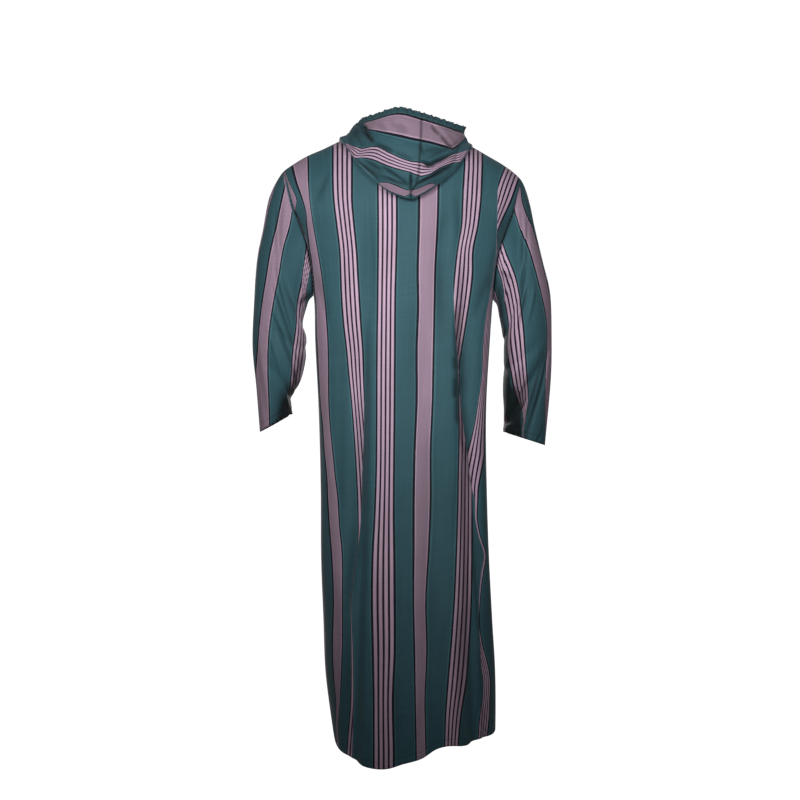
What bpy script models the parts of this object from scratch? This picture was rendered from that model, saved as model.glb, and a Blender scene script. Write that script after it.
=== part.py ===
"""Hooded striped robe, hollow as it is worn, with its hood down on the back.

Metres, +Z up. The wearer would face -Y, so +X is the wearer's left. The origin lies between
the two shoulders, level with the neck seam, where the wearer holds the robe up.
"""

import math

import bpy
import numpy as np
from mathutils import Vector
from mathutils.bvhtree import BVHTree

# The cloth and its seams
CLOTH = 0.0016
EDGING = 0.0022
SEAM_GAP = 0.0003
MOST_MITRE = 2.2

# How finely the cloth is modelled
SHOULDER_COLUMNS = 6
NECK_COLUMNS = 18
ARMHOLE_ROWS = 10
SKIRT_ROWS = 16
SLEEVE_ROWS = 14
EDGING_STEPS = 5
STEPS_PER_GATHER = 4

# The trunk's sections are rounded oblongs: 2 is an ellipse, more is squarer
SQUARENESS = 2.3
SHOULDER_ROUNDING = {"back": 0.130, "front": 0.120}
FACING = {"back": 1.0, "front": -1.0}
SIDE = {"left": 1.0, "right": -1.0}

# Trunk by drop below the origin: reach to each side, depth to the back and to the front.
# Above the armpits the reach runs on into the arms, so that the armholes stand open.
TRUNK = np.array(
    [
        (-0.050, 0.410, 0.410, 0.104, 0.096),
        (0.050, 0.345, 0.345, 0.108, 0.104),
        (0.090, 0.315, 0.315, 0.112, 0.114),
        (0.140, 0.284, 0.284, 0.117, 0.126),
        (0.190, 0.243, 0.243, 0.119, 0.133),
        (0.250, 0.220, 0.222, 0.120, 0.137),
        (0.300, 0.210, 0.211, 0.119, 0.138),
        (0.341, 0.205, 0.207, 0.118, 0.138),
        (0.437, 0.202, 0.200, 0.116, 0.136),
        (0.575, 0.195, 0.192, 0.117, 0.135),
        (0.782, 0.189, 0.193, 0.126, 0.138),
        (0.943, 0.188, 0.198, 0.133, 0.142),
        (1.079, 0.183, 0.205, 0.139, 0.146),
        (1.200, 0.178, 0.212, 0.144, 0.150),
        (1.290, 0.167, 0.213, 0.147, 0.152),
        (1.390, 0.152, 0.211, 0.149, 0.154),
    ],
    dtype=[(name, float) for name in ("drop", "left", "right", "back", "front")],
)

# The line of the shoulders from the wearer's right to left; the right one hangs lower
SHOULDER_LINE = np.array(
    [
        (-0.273, -0.070),
        (-0.257, -0.055),
        (-0.231, -0.036),
        (-0.193, -0.014),
        (-0.156, 0.007),
        (-0.118, 0.025),
        (0.000, 0.034),
        (0.118, 0.029),
        (0.143, 0.020),
        (0.182, 0.001),
        (0.225, -0.018),
        (0.258, -0.038),
        (0.276, -0.050),
    ],
    dtype=[("across", float), ("height", float)],
)

# Armholes: the shoulder tip, the armpit's height, and how far the seam still lies out from
# the side seam's place on the way down to the armpit
SHOULDER_TIP = {"left": (0.276, -0.050), "right": (0.273, -0.070)}
ARMPIT = {"left": -0.336, "right": -0.346}
ARMHOLE_REACH = np.array(
    [(0.00, 1.000), (0.14, 0.797), (0.30, 0.629), (0.46, 0.383), (0.60, 0.188), (0.77, 0.065), (1.00, 0.000)],
    dtype=[("way_down", float), ("share", float)],
)

# The neck: a shallow curve behind and a plain V in front
NECK_SHARE = 0.43
NECK_BACK_DEPTH = 0.082
NECK_V_DROP = 0.150

# Height of the hem round each panel, from the wearer's right side seam (-1) to the left one (1)
HEM = {
    "back": np.array(
        [
            (-1.00, -1.329),
            (-0.69, -1.333),
            (-0.43, -1.340),
            (-0.25, -1.338),
            (-0.08, -1.366),
            (0.09, -1.384),
            (0.37, -1.381),
            (0.66, -1.364),
            (1.00, -1.341),
        ],
        dtype=[("place", float), ("height", float)],
    ),
    "front": np.array(
        [(-1.00, -1.329), (-0.50, -1.340), (0.00, -1.347), (0.50, -1.346), (1.00, -1.341)],
        dtype=[("place", float), ("height", float)],
    ),
}

# Long folds: where each starts and ends, its place across at the start, middle and end,
# how deep it is (below 0 is a trough), and its width towards the left and the right
FOLD_COLUMNS = ("top", "foot", "start", "middle", "end", "depth", "left", "right")
FOLDS = {
    "back": np.array(
        [
            (-0.300, -1.45, 0.086, 0.096, 0.112, -0.017, 0.030, 0.013),
            (-0.300, -1.45, 0.064, 0.070, 0.084, 0.007, 0.016, 0.028),
            (-0.180, -1.45, -0.140, -0.152, -0.166, -0.019, 0.014, 0.024),
            (-0.230, -1.45, -0.100, -0.112, -0.118, 0.008, 0.030, 0.016),
            (-0.070, -0.36, 0.084, 0.079, 0.072, -0.005, 0.016, 0.016),
            (-0.090, -0.45, -0.083, -0.090, -0.102, -0.005, 0.015, 0.015),
            (-0.700, -1.45, -0.004, -0.006, -0.008, -0.007, 0.026, 0.026),
            (-0.950, -1.45, -0.060, -0.066, -0.074, -0.009, 0.022, 0.018),
            (-0.800, -1.45, 0.146, 0.142, 0.128, 0.009, 0.018, 0.022),
            (-0.090, -0.31, 0.222, 0.212, 0.205, 0.009, 0.012, 0.020),
            (-0.100, -0.31, -0.220, -0.212, -0.205, 0.009, 0.020, 0.012),
        ],
        dtype=[(name, float) for name in FOLD_COLUMNS],
    ),
    "front": np.array(
        [
            (-0.240, -1.45, 0.120, 0.126, 0.122, -0.014, 0.022, 0.022),
            (-0.200, -1.45, 0.066, 0.072, 0.076, 0.010, 0.026, 0.026),
            (-0.320, -1.45, 0.018, 0.022, 0.026, -0.012, 0.022, 0.022),
            (-0.260, -1.45, -0.036, -0.036, -0.034, 0.010, 0.026, 0.026),
            (-0.280, -1.45, -0.092, -0.094, -0.090, -0.013, 0.022, 0.022),
            (-0.220, -1.45, -0.136, -0.142, -0.146, 0.009, 0.022, 0.022),
        ],
        dtype=[(name, float) for name in FOLD_COLUMNS],
    ),
}
FOLD_RISE = 0.28

# Sleeves from the armhole down to the cuff: the outer and the inner line of the arm,
# half the sleeve's depth, and how far forward its middle lies
SLEEVE_COLUMNS = ("way", "outer_x", "outer_z", "inner_x", "inner_z", "half_depth", "forward")
SLEEVE = {
    "left": np.array(
        [
            (0.00, 0.276, -0.050, 0.207, -0.336, 0.062, 0.000),
            (0.06, 0.293, -0.078, 0.217, -0.345, 0.064, 0.000),
            (0.13, 0.307, -0.110, 0.224, -0.366, 0.066, 0.000),
            (0.25, 0.322, -0.184, 0.231, -0.398, 0.071, 0.002),
            (0.40, 0.336, -0.254, 0.223, -0.430, 0.073, 0.004),
            (0.55, 0.344, -0.352, 0.224, -0.477, 0.071, 0.008),
            (0.70, 0.348, -0.451, 0.235, -0.526, 0.067, 0.014),
            (0.85, 0.340, -0.543, 0.257, -0.571, 0.061, 0.024),
            (1.00, 0.333, -0.649, 0.258, -0.607, 0.055, 0.036),
        ],
        dtype=[(name, float) for name in SLEEVE_COLUMNS],
    ),
    "right": np.array(
        [
            (0.00, 0.273, -0.070, 0.205, -0.346, 0.062, 0.000),
            (0.06, 0.284, -0.098, 0.214, -0.356, 0.064, 0.000),
            (0.13, 0.293, -0.130, 0.219, -0.380, 0.066, 0.000),
            (0.25, 0.302, -0.172, 0.226, -0.410, 0.071, 0.002),
            (0.40, 0.322, -0.256, 0.232, -0.451, 0.073, 0.004),
            (0.55, 0.339, -0.329, 0.232, -0.504, 0.071, 0.008),
            (0.70, 0.343, -0.424, 0.231, -0.556, 0.067, 0.014),
            (0.85, 0.342, -0.530, 0.234, -0.602, 0.062, 0.022),
            (1.00, 0.330, -0.680, 0.232, -0.649, 0.057, 0.032),
        ],
        dtype=[(name, float) for name in SLEEVE_COLUMNS],
    ),
}
ARMHOLE_EASE = 0.38

# Creases round the sleeves: way down the sleeve, how far the crease slants, its depth,
# its width, and where round the arm it is deepest (0 outside, 90 behind, 180 inside)
CREASE_COLUMNS = ("way", "slant", "depth", "width", "middle")
CREASES = {
    "left": np.array(
        [(0.30, 0.10, -0.006, 0.030, 160.0), (0.52, -0.12, -0.005, 0.030, 150.0), (0.80, 0.14, -0.005, 0.035, 140.0)],
        dtype=[(name, float) for name in CREASE_COLUMNS],
    ),
    "right": np.array(
        [(0.34, 0.10, -0.006, 0.030, 150.0), (0.60, -0.14, -0.005, 0.032, 140.0), (0.84, 0.22, -0.008, 0.036, 110.0)],
        dtype=[(name, float) for name in CREASE_COLUMNS],
    ),
}

# The hood, lying down on the back, by the way round the neck: 0 behind, 0.5 at the side of
# the neck, 1 at the foot of the V. Each rib runs from the rim over the belly of the hood to
# the fold at its foot, which is rolled round this radius. x is to the wearer's left.
RIB_POINTS = ("rim", "brow", "high", "low", "foot")
RIB_COLUMNS = ("way", "roll") + tuple(point + "_" + axis for point in RIB_POINTS for axis in "xyz")
RIBS = {
    "left": np.array(
        [
            (0.00, 0.009)
            + (-0.040, 0.106, 0.066, -0.040, 0.136, 0.026, -0.037, 0.158, -0.032)
            + (-0.030, 0.160, -0.098, -0.018, 0.135, -0.135),
            (0.17, 0.009)
            + (0.010, 0.103, 0.078, 0.014, 0.130, 0.040, 0.024, 0.150, -0.020)
            + (0.034, 0.152, -0.076, 0.040, 0.130, -0.110),
            (0.33, 0.008)
            + (0.060, 0.082, 0.068, 0.066, 0.101, 0.042, 0.080, 0.114, 0.004)
            + (0.092, 0.118, -0.030, 0.098, 0.108, -0.052),
            (0.50, 0.006)
            + (0.098, 0.022, 0.064, 0.104, 0.020, 0.056, 0.116, 0.014, 0.048)
            + (0.130, 0.006, 0.040, 0.145, 0.000, 0.026),
            (0.60, 0.006)
            + (0.092, -0.030, 0.058, 0.101, -0.034, 0.052, 0.113, -0.040, 0.043)
            + (0.125, -0.046, 0.032, 0.134, -0.050, 0.020),
            (0.70, 0.006)
            + (0.080, -0.070, 0.034, 0.087, -0.077, 0.028, 0.097, -0.085, 0.016)
            + (0.106, -0.092, 0.000, 0.110, -0.090, -0.016),
            (0.85, 0.005)
            + (0.044, -0.116, -0.020, 0.050, -0.119, -0.028, 0.060, -0.121, -0.040)
            + (0.068, -0.120, -0.054, 0.074, -0.113, -0.068),
            (1.00, 0.005)
            + (0.008, -0.136, -0.090, 0.013, -0.139, -0.098, 0.020, -0.141, -0.109)
            + (0.026, -0.141, -0.122, 0.030, -0.134, -0.138),
        ],
        dtype=[(name, float) for name in RIB_COLUMNS],
    ),
    "right": np.array(
        [
            (0.00, 0.009)
            + (-0.040, 0.106, 0.066, -0.040, 0.136, 0.026, -0.037, 0.158, -0.032)
            + (-0.030, 0.160, -0.098, -0.018, 0.135, -0.135),
            (0.17, 0.009)
            + (-0.080, 0.093, 0.056, -0.081, 0.121, 0.018, -0.078, 0.143, -0.034)
            + (-0.074, 0.149, -0.078, -0.066, 0.130, -0.108),
            (0.33, 0.008)
            + (-0.122, 0.066, 0.047, -0.120, 0.086, 0.020, -0.119, 0.104, -0.010)
            + (-0.118, 0.112, -0.038, -0.116, 0.105, -0.062),
            (0.50, 0.006)
            + (-0.143, 0.022, 0.048, -0.140, 0.022, 0.041, -0.140, 0.018, 0.035)
            + (-0.147, 0.008, 0.028, -0.156, 0.000, 0.014),
            (0.60, 0.006)
            + (-0.122, -0.030, 0.057, -0.125, -0.034, 0.049, -0.130, -0.040, 0.041)
            + (-0.138, -0.046, 0.030, -0.144, -0.050, 0.012),
            (0.70, 0.006)
            + (-0.092, -0.070, 0.036, -0.098, -0.077, 0.029, -0.106, -0.086, 0.017)
            + (-0.113, -0.093, 0.001, -0.116, -0.090, -0.016),
            (0.85, 0.005)
            + (-0.048, -0.116, -0.024, -0.053, -0.119, -0.031, -0.061, -0.121, -0.042)
            + (-0.069, -0.120, -0.056, -0.075, -0.113, -0.070),
            (1.00, 0.005)
            + (-0.008, -0.136, -0.090, -0.013, -0.139, -0.098, -0.020, -0.141, -0.109)
            + (-0.026, -0.141, -0.122, -0.030, -0.134, -0.138),
        ],
        dtype=[(name, float) for name in RIB_COLUMNS],
    ),
}
# Rows of cloth between one mark of a rib and the next
RIB_STEPS = {"outer": 9, "foot": 1, "inner": 1, "bend": 5, "stand": 1, "seam": 1}
NECK_STAND = 0.008
NECK_BEND = 0.008
HOOD_CLEARANCE = 0.005
FRONT_PARTING = 0.005
EDGING_WIDTH = 0.019
GATHER_DEPTH = 0.0014

GREEN = (0.045, 0.110, 0.115, 1.0)
DARK_GREEN = (0.030, 0.075, 0.080, 1.0)


def curve(places, values, at):
    """The smooth curve through the values at these places, read at other places."""
    places, values, at = (np.asarray(x, float) for x in (places, values, at))
    slopes = np.gradient(values, places)
    i = np.clip(np.searchsorted(places, at, side="right") - 1, 0, len(places) - 2)
    span = places[i + 1] - places[i]
    t = np.clip((at - places[i]) / span, 0.0, 1.0)
    start = (1 + 2 * t) * (1 - t) ** 2 * values[i] + t * (1 - t) ** 2 * span * slopes[i]
    end = t * t * (3 - 2 * t) * values[i + 1] - t * t * (1 - t) * span * slopes[i + 1]
    return start + end


def ease(t):
    """0 to 1, starting and ending gently."""
    t = np.clip(t, 0.0, 1.0)
    return t * t * (3 - 2 * t)


def unit(v):
    return v / np.maximum(np.linalg.norm(v, axis=-1, keepdims=True), 1e-12)


def oblong(share):
    """How far out a rounded oblong still is, where it has gone this share of its way across."""
    return (1 - np.clip(np.abs(share), 0.0, 1.0) ** SQUARENESS) ** (1 / SQUARENESS)


def shoulder_height(x):
    return curve(SHOULDER_LINE["across"], SHOULDER_LINE["height"], x)


def trunk_reach(x, z):
    left = curve(TRUNK["drop"], TRUNK["left"], -z)
    right = curve(TRUNK["drop"], TRUNK["right"], -z)
    return np.where(x > 0, left, right)


def trunk_depth(face, x, z):
    """How far behind or in front of the shoulder line the smooth trunk lies."""
    depth = curve(TRUNK["drop"], TRUNK[face], -z) * oblong(x / trunk_reach(x, z))
    fallen = np.clip((shoulder_height(x) - z) / SHOULDER_ROUNDING[face], 0.0, 1.0)
    return depth * np.sqrt(1 - (1 - fallen) ** 2)


def fold_relief(face, x, z):
    """How far the long folds lift or sink the cloth."""
    relief = np.zeros_like(x)
    for fold in FOLDS[face]:
        way = np.clip((fold["top"] - z) / (fold["top"] - fold["foot"]), 0.0, 1.0)
        line = curve((0.0, 0.5, 1.0), (fold["start"], fold["middle"], fold["end"]), way)
        short = fold["foot"] > -1.0
        strength = np.sin(np.pi * way) if short else ease((fold["top"] - z) / FOLD_RISE)
        aside = x - line
        width = np.where(aside > 0, fold["left"], fold["right"])
        relief += fold["depth"] * strength * np.exp(-((aside / width) ** 2))
    return relief


def column_places():
    """The panel's columns from the wearer's right (-1) to left (1), with one at each neck corner."""
    shoulder = np.linspace(1.0, NECK_SHARE, SHOULDER_COLUMNS + 1)[:-1]
    neck = NECK_SHARE * np.sin(np.linspace(-0.5, 0.5, NECK_COLUMNS + 1) * math.pi)
    return np.concatenate([-shoulder, neck, shoulder[::-1]])


def top_edge(face, places):
    """(x, z) of the shoulder seams and the neck seam."""
    tip = np.where(places > 0, SHOULDER_TIP["left"][0], SHOULDER_TIP["right"][0])
    x = places * tip
    z = shoulder_height(x)
    share = np.abs(places) / NECK_SHARE
    inside = share < 1 - 1e-9
    if face == "back":
        behind = NECK_BACK_DEPTH * np.sqrt(np.clip(1 - share**2, 0, 1))
        full = curve(TRUNK["drop"], TRUNK[face], 0.0) * oblong(x / trunk_reach(x, 0.0 * x))
        sunk = SHOULDER_ROUNDING[face] * (1 - np.sqrt(np.clip(1 - (behind / full) ** 2, 0, 1)))
    else:
        sunk = NECK_V_DROP * (1 - share)
    return x, np.where(inside, z - sunk, z)


def panel(face):
    """The outside of the back or the front, row by row from the shoulders to the hem."""
    places = column_places()
    top_x, top_z = top_edge(face, places)
    armpit = ARMPIT["right"] + (ARMPIT["left"] - ARMPIT["right"]) * (places + 1) / 2
    tip_x = np.where(places > 0, SHOULDER_TIP["left"][0], SHOULDER_TIP["right"][0])
    bow = np.sin(np.abs(places) * math.pi / 2) ** (2 / SQUARENESS) * np.sign(places)
    hem = curve(HEM[face]["place"], HEM[face]["height"], places)
    side_x = trunk_reach(places, armpit)
    rows = []
    for row in range(ARMHOLE_ROWS + 1):
        lift = (1 + math.cos(math.pi * row / ARMHOLE_ROWS)) / 2
        share = curve(ARMHOLE_REACH["way_down"], ARMHOLE_REACH["share"], 1 - lift)
        reach = side_x + (tip_x - side_x) * share
        rows.append((reach * (places * lift + bow * (1 - lift)), armpit + (top_z - armpit) * lift))
    rows[0] = (top_x, top_z)
    for row in range(1, SKIRT_ROWS + 1):
        z = armpit + (hem - armpit) * row / SKIRT_ROWS
        rows.append((trunk_reach(places, z) * bow, z))
    grid = []
    for number, (x, z) in enumerate(rows):
        y = trunk_depth(face, x, z)
        relief = fold_relief(face, x, z) * (1 - np.abs(places) ** 6) * ease(number / 3)
        aside = unit(np.stack([x / 0.2**2, np.maximum(y, 1e-3) / 0.12**2], axis=-1))
        grid.append(np.stack([x + relief * aside[:, 0], (y + relief * aside[:, 1]) * FACING[face], z], axis=-1))
    return np.array(grid)


def sleeve(side, back, front):
    """The outside of a sleeve, ring by ring from the armhole, which the two panels give."""
    edge = -1 if side == "left" else 0
    behind = back[: ARMHOLE_ROWS + 1, edge]
    before = front[1:ARMHOLE_ROWS, edge][::-1]
    armhole = np.concatenate([behind, before])
    turn = np.arange(len(armhole)) * 2 * math.pi / len(armhole)
    table = SLEEVE[side]
    rings = []
    for row in range(SLEEVE_ROWS + 1):
        way = row / SLEEVE_ROWS
        at = {name: float(curve(table["way"], table[name], way)) for name in SLEEVE_COLUMNS[1:]}
        outer = np.array([at["outer_x"] * SIDE[side], 0.0, at["outer_z"]])
        inner = np.array([at["inner_x"] * SIDE[side], 0.0, at["inner_z"]])
        middle = (outer + inner) / 2 - np.array([0.0, at["forward"], 0.0])
        across = (outer - inner) / 2
        deep = np.array([0.0, at["half_depth"], 0.0])
        ring = middle + np.cos(turn)[:, None] * across + np.sin(turn)[:, None] * deep
        if row == 0:
            first = ring
        ring = ring + (armhole - first) * (1 - ease(way / ARMHOLE_EASE))
        outwards = unit(ring - ring.mean(axis=0))
        sunk = crease_relief(side, way, turn) * ease(way / 0.15) * ease((1 - way) / 0.08)
        rings.append(ring + outwards * np.asarray(sunk)[..., None])
    rings[0] = armhole
    return np.array(rings)


def crease_relief(side, way, turn):
    """How far the slanting creases sink the sleeve."""
    relief = 0.0 * np.asarray(turn, float)
    for crease in CREASES[side]:
        apart = np.asarray(turn, float) - math.radians(crease["middle"])
        facing = np.clip(np.cos(apart), 0.0, 1.0)
        line = crease["way"] + crease["slant"] * np.sin(apart) / 2
        relief = relief + crease["depth"] * facing * np.exp(-(((way - line) / crease["width"]) ** 2))
    return relief


def neck_seam(side, back, front):
    """The neck seam from the middle of the back round one side to the foot of the V."""
    middle = SHOULDER_COLUMNS + NECK_COLUMNS // 2
    corner = SHOULDER_COLUMNS + (NECK_COLUMNS if side == "left" else 0)
    step = 1 if side == "left" else -1
    behind = back[0, middle : corner + step : step] if step > 0 else back[0, corner : middle + 1][::-1]
    before = front[0, middle:corner][::-1] if step > 0 else front[0, corner + 1 : middle + 1]
    return np.concatenate([behind, before])


def trunk_surface(back, front):
    """The outside of the trunk as one surface that can be asked for its nearest point."""
    points, faces = [], []
    for grid, turned in ((back, False), (front, True)):
        rows, columns = grid.shape[:2]
        first = len(points)
        points += [Vector(point) for point in grid.reshape(-1, 3)]
        for row in range(rows - 1):
            for column in range(columns - 1):
                a = first + row * columns + column
                face = (a, a + 1, a + columns + 1, a + columns)
                faces.append(face[::-1] if turned else face)
    return BVHTree.FromPolygons(points, faces)


def lifted(trunk, point, gap):
    """The point, moved out until it clears the trunk by this gap, and the way out there."""
    place, out, _, _ = trunk.find_nearest(Vector(point))
    height = (Vector(point) - place).dot(out)
    return np.array(Vector(point) + out * max(0.0, gap - height)), np.array(out)


def hood_rib(side, way, seam, trunk):
    """One rib of the hood: its points, how far off the trunk each stays, and its marks."""
    table = RIBS[side]
    at = {name: float(curve(table["way"], table[name], way)) for name in RIB_COLUMNS[1:]}
    rim, brow, high, low, foot = (np.array([at[p + "_" + axis] for axis in "xyz"]) for p in RIB_POINTS)
    roll = at["roll"]
    foot, out = lifted(trunk, foot, HOOD_CLEARANCE + roll)
    away = unit(seam - np.array([0.0, -0.01, seam[2]]))
    up = np.array([0.0, 0.0, 1.0])
    stand = seam + up * NECK_STAND + away * 0.001
    bend = stand + away * NECK_BEND
    back_up = unit((bend - foot) - out * np.dot(bend - foot, out))
    outer = foot + (back_up + out) * roll
    inner = foot + (back_up - out) * roll
    marks = ["rim", "brow", "high", "low", "outer", "foot", "inner"]
    points = [rim, brow, high, low, outer, foot, inner]
    gaps = [HOOD_CLEARANCE + roll * share for share in (2, 2, 2, 2, 2, 1, 0)]
    for share in (0.25, 0.5, 0.75):
        marks.append("between")
        points.append(lifted(trunk, inner + (bend - inner) * share, HOOD_CLEARANCE)[0])
        gaps.append(HOOD_CLEARANCE)
    marks += ["bend", "stand", "seam"]
    points += [bend, stand, seam]
    gaps += [0.0, 0.0, 0.0]
    return np.array(points), np.array(gaps), marks


def hood_line(side, way, seam, trunk, start, steps):
    """Points down a smooth rib from this far below its rim, so many up to each mark."""
    points, gaps, marks = hood_rib(side, way, seam, trunk)
    chords = np.concatenate([[0.0], np.cumsum(np.linalg.norm(np.diff(points, axis=0), axis=1))])
    places = [start]
    for mark, count in steps.items():
        places += list(np.linspace(places[-1], chords[marks.index(mark)], count + 1)[1:])
    line = np.stack([curve(chords, points[:, axis], places) for axis in range(3)], axis=-1)
    for row, gap in enumerate(np.interp(places, chords, gaps)):
        if gap > 0:
            line[row] = lifted(trunk, line[row], gap)[0]
        if way > 0.8 and places[row] < chords[-1]:
            line[row, 0] = SIDE[side] * max(SIDE[side] * line[row, 0], FRONT_PARTING)
    return line


def hood_half(side, seam, trunk):
    """The outside of half the hood, from below its edging to the neck seam."""
    ways = np.linspace(0, 1, len(seam))
    lines = [hood_line(side, way, point, trunk, EDGING_WIDTH, RIB_STEPS) for way, point in zip(ways, seam)]
    grid = np.array(lines).transpose(1, 0, 2)
    grid[-1] = seam
    return grid


def edging(seams, halves, trunk):
    """The gathered strip round the face opening, from one side of the V to the other."""
    columns = []
    for side in ("right", "left"):
        ways = np.linspace(0, 1, len(seams[side]))
        tops = []
        for way, point in zip(ways, seams[side]):
            rows = [hood_line(side, way, point, trunk, share * EDGING_WIDTH, {})[0] for share in (0.02, 0.5)]
            tops.append(rows)
        ribs = np.concatenate([np.array(tops), halves[side][0][:, None]], axis=1)
        columns += list(ribs[::-1]) if side == "right" else list(ribs[1:])
    coarse = np.array(columns)
    stations = np.arange((len(coarse) - 1) * EDGING_STEPS + 1) / EDGING_STEPS
    grid = between(coarse, stations).transpose(1, 0, 2)
    wave = np.sin((np.arange(len(stations)) + 0.5) * 2 * math.pi / STEPS_PER_GATHER)
    swell = np.array([1.0, 0.9, 0.0])[:, None] * wave[None, :] * GATHER_DEPTH
    return grid + normals(grid) * swell[..., None]


def between(rows, stations):
    """Rows read at places between them, in straight lines."""
    cells = np.minimum(stations.astype(int), len(rows) - 2)
    share = (stations - cells).reshape((-1,) + (1,) * (rows.ndim - 1))
    return rows[cells] * (1 - share) + rows[cells + 1] * share


def normals(grid, ring=False):
    """The way out at each point of a grid, whose rows run down and columns across."""
    if ring:
        across = np.roll(grid, -1, axis=1) - np.roll(grid, 1, axis=1)
    else:
        across = np.gradient(grid, axis=1)
    return unit(np.cross(across, np.gradient(grid, axis=0)))


def shared_normals(pieces):
    """Pieces that meet at a seam take the same way out there, so their walls end flush."""
    meeting = {}
    for name, piece in pieces.items():
        for row, column in border(piece):
            key = tuple(np.round(piece["grid"][row, column], 5))
            meeting.setdefault(key, []).append((name, row, column))
    for places in meeting.values():
        own = np.array([pieces[name]["out"][row, column] for name, row, column in places])
        alike = own @ own.T
        shared = unit((own / (alike > 0.7).sum(axis=1)[:, None]).sum(axis=0))
        mitre = 1 / max((own @ shared).min(), 1 / MOST_MITRE)
        if len({name for name, row, column in places}) > 1:
            for name, row, column in places:
                pieces[name]["out"][row, column] = shared * mitre
    lower = pieces["hood_edging"]["out"][-1]
    stations = np.arange(len(lower)) / EDGING_STEPS
    pieces["hood_edging"]["out"][-1] = between(lower[::EDGING_STEPS], stations)


def border(piece):
    rows, columns = piece["grid"].shape[:2]
    if piece["ring"]:
        return [(0, column) for column in range(columns)]
    ends = [(row, column) for row in range(rows) for column in (0, columns - 1)]
    return ends + [(row, column) for row in (0, rows - 1) for column in range(1, columns - 1)]


def seam_gap(piece):
    """Draws each edge back by half the gap that seams keep."""
    grid = piece["grid"]
    half = SEAM_GAP / 2
    moved = grid.copy()
    moved[0] += unit(grid[1] - grid[0]) * half
    moved[-1] += unit(grid[-2] - grid[-1]) * half
    if not piece["ring"]:
        moved[:, 0] += unit(grid[:, 1] - grid[:, 0]) * half
        moved[:, -1] += unit(grid[:, -2] - grid[:, -1]) * half
    piece["grid"] = moved


def wall(name, piece, colour):
    """A closed wall of cloth: the outside, and the same points moved in by its thickness."""
    grid, out, ring = piece["grid"], piece["out"], piece["ring"]
    rows, columns = grid.shape[:2]
    outside = grid.reshape(-1, 3)
    inside = (grid - out * piece["thick"]).reshape(-1, 3)
    count = rows * columns
    spans = columns if ring else columns - 1
    faces = []
    for row in range(rows - 1):
        for column in range(spans):
            a = row * columns + column
            b = row * columns + (column + 1) % columns
            c, d = b + columns, a + columns
            faces += [(a, c, d), (a, b, c)]
            faces += [(a + count, d + count, c + count), (a + count, c + count, b + count)]
    for column in range(spans):
        for row, turned in ((0, True), (rows - 1, False)):
            a = row * columns + column
            b = row * columns + (column + 1) % columns
            faces += edge_faces(a, b, count, turned)
    if not ring:
        for row in range(rows - 1):
            for column, turned in ((0, False), (columns - 1, True)):
                a = row * columns + column
                faces += edge_faces(a, a + columns, count, turned)
    points = np.concatenate([outside, inside])
    if piece["flip"]:
        faces = [face[::-1] for face in faces]
    mesh = bpy.data.meshes.new(name)
    mesh.from_pydata(points.tolist(), [], faces)
    mesh.shade_smooth()
    mesh.set_sharp_from_angle(angle=math.radians(50))
    mesh.materials.append(cloth_material(name, colour))
    robe_piece = bpy.data.objects.new(name, mesh)
    bpy.context.scene.collection.objects.link(robe_piece)
    return robe_piece


def edge_faces(a, b, count, turned):
    faces = [(a, b, b + count), (a, b + count, a + count)]
    return [face[::-1] for face in faces] if turned else faces


def cloth_material(name, colour):
    material = bpy.data.materials.new(name + " cloth")
    material.use_nodes = True
    shader = material.node_tree.nodes["Principled BSDF"]
    shader.inputs["Base Color"].default_value = colour
    shader.inputs["Roughness"].default_value = 0.72
    shader.inputs["Metallic"].default_value = 0.0
    return material


def build_robe():
    back, front = panel("back"), panel("front")
    trunk = trunk_surface(back, front)
    seams = {side: neck_seam(side, back, front) for side in SIDE}
    halves = {side: hood_half(side, seams[side], trunk) for side in SIDE}
    grids = {"back_panel": back, "front_panel": front}
    for side in SIDE:
        grids["sleeve_" + side] = sleeve(side, back, front)
        grids["hood_" + side] = halves[side]
    grids["hood_edging"] = edging(seams, halves, trunk)
    pieces = {}
    for name, grid in grids.items():
        ring = name.startswith("sleeve")
        thick = EDGING if name == "hood_edging" else CLOTH
        pieces[name] = {"grid": grid, "ring": ring, "thick": thick, "out": normals(grid, ring)}
    for name, piece in pieces.items():
        turned = outward_sign(name, piece)
        piece["flip"] = turned < 0
        piece["out"] = piece["out"] * turned
    shared_normals(pieces)
    for name, piece in pieces.items():
        seam_gap(piece)
        wall(name, piece, DARK_GREEN if name == "hood_edging" else GREEN)


def outward_sign(name, piece):
    """1 where the grid's own turn points out of the robe, -1 where it points in."""
    if name == "front_panel":
        return -1.0 if piece["out"][-1, piece["grid"].shape[1] // 2][1] > 0 else 1.0
    if name == "back_panel":
        return 1.0 if piece["out"][-1, piece["grid"].shape[1] // 2][1] > 0 else -1.0
    if piece["ring"]:
        away = piece["grid"][4] - piece["grid"][4].mean(axis=0)
        return 1.0 if (piece["out"][4] * away).sum() > 0 else -1.0
    middle = piece["grid"].shape[1] // 2 if name == "hood_edging" else 0
    return 1.0 if piece["out"][1, middle][1] > 0 else -1.0


def main():
    for old in list(bpy.data.objects):
        bpy.data.objects.remove(old)
    build_robe()


main()
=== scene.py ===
"""Hooded striped robe: its cloth, stitching and studio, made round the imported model.

Metres, +Z up. The wearer would face -Y, so +X is the wearer's left. The file is laid out as
a Blender add-on and is run as a script.
"""

import functools
import math

import bpy
import numpy as np
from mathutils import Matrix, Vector, noise
from mathutils.bvhtree import BVHTree


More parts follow.
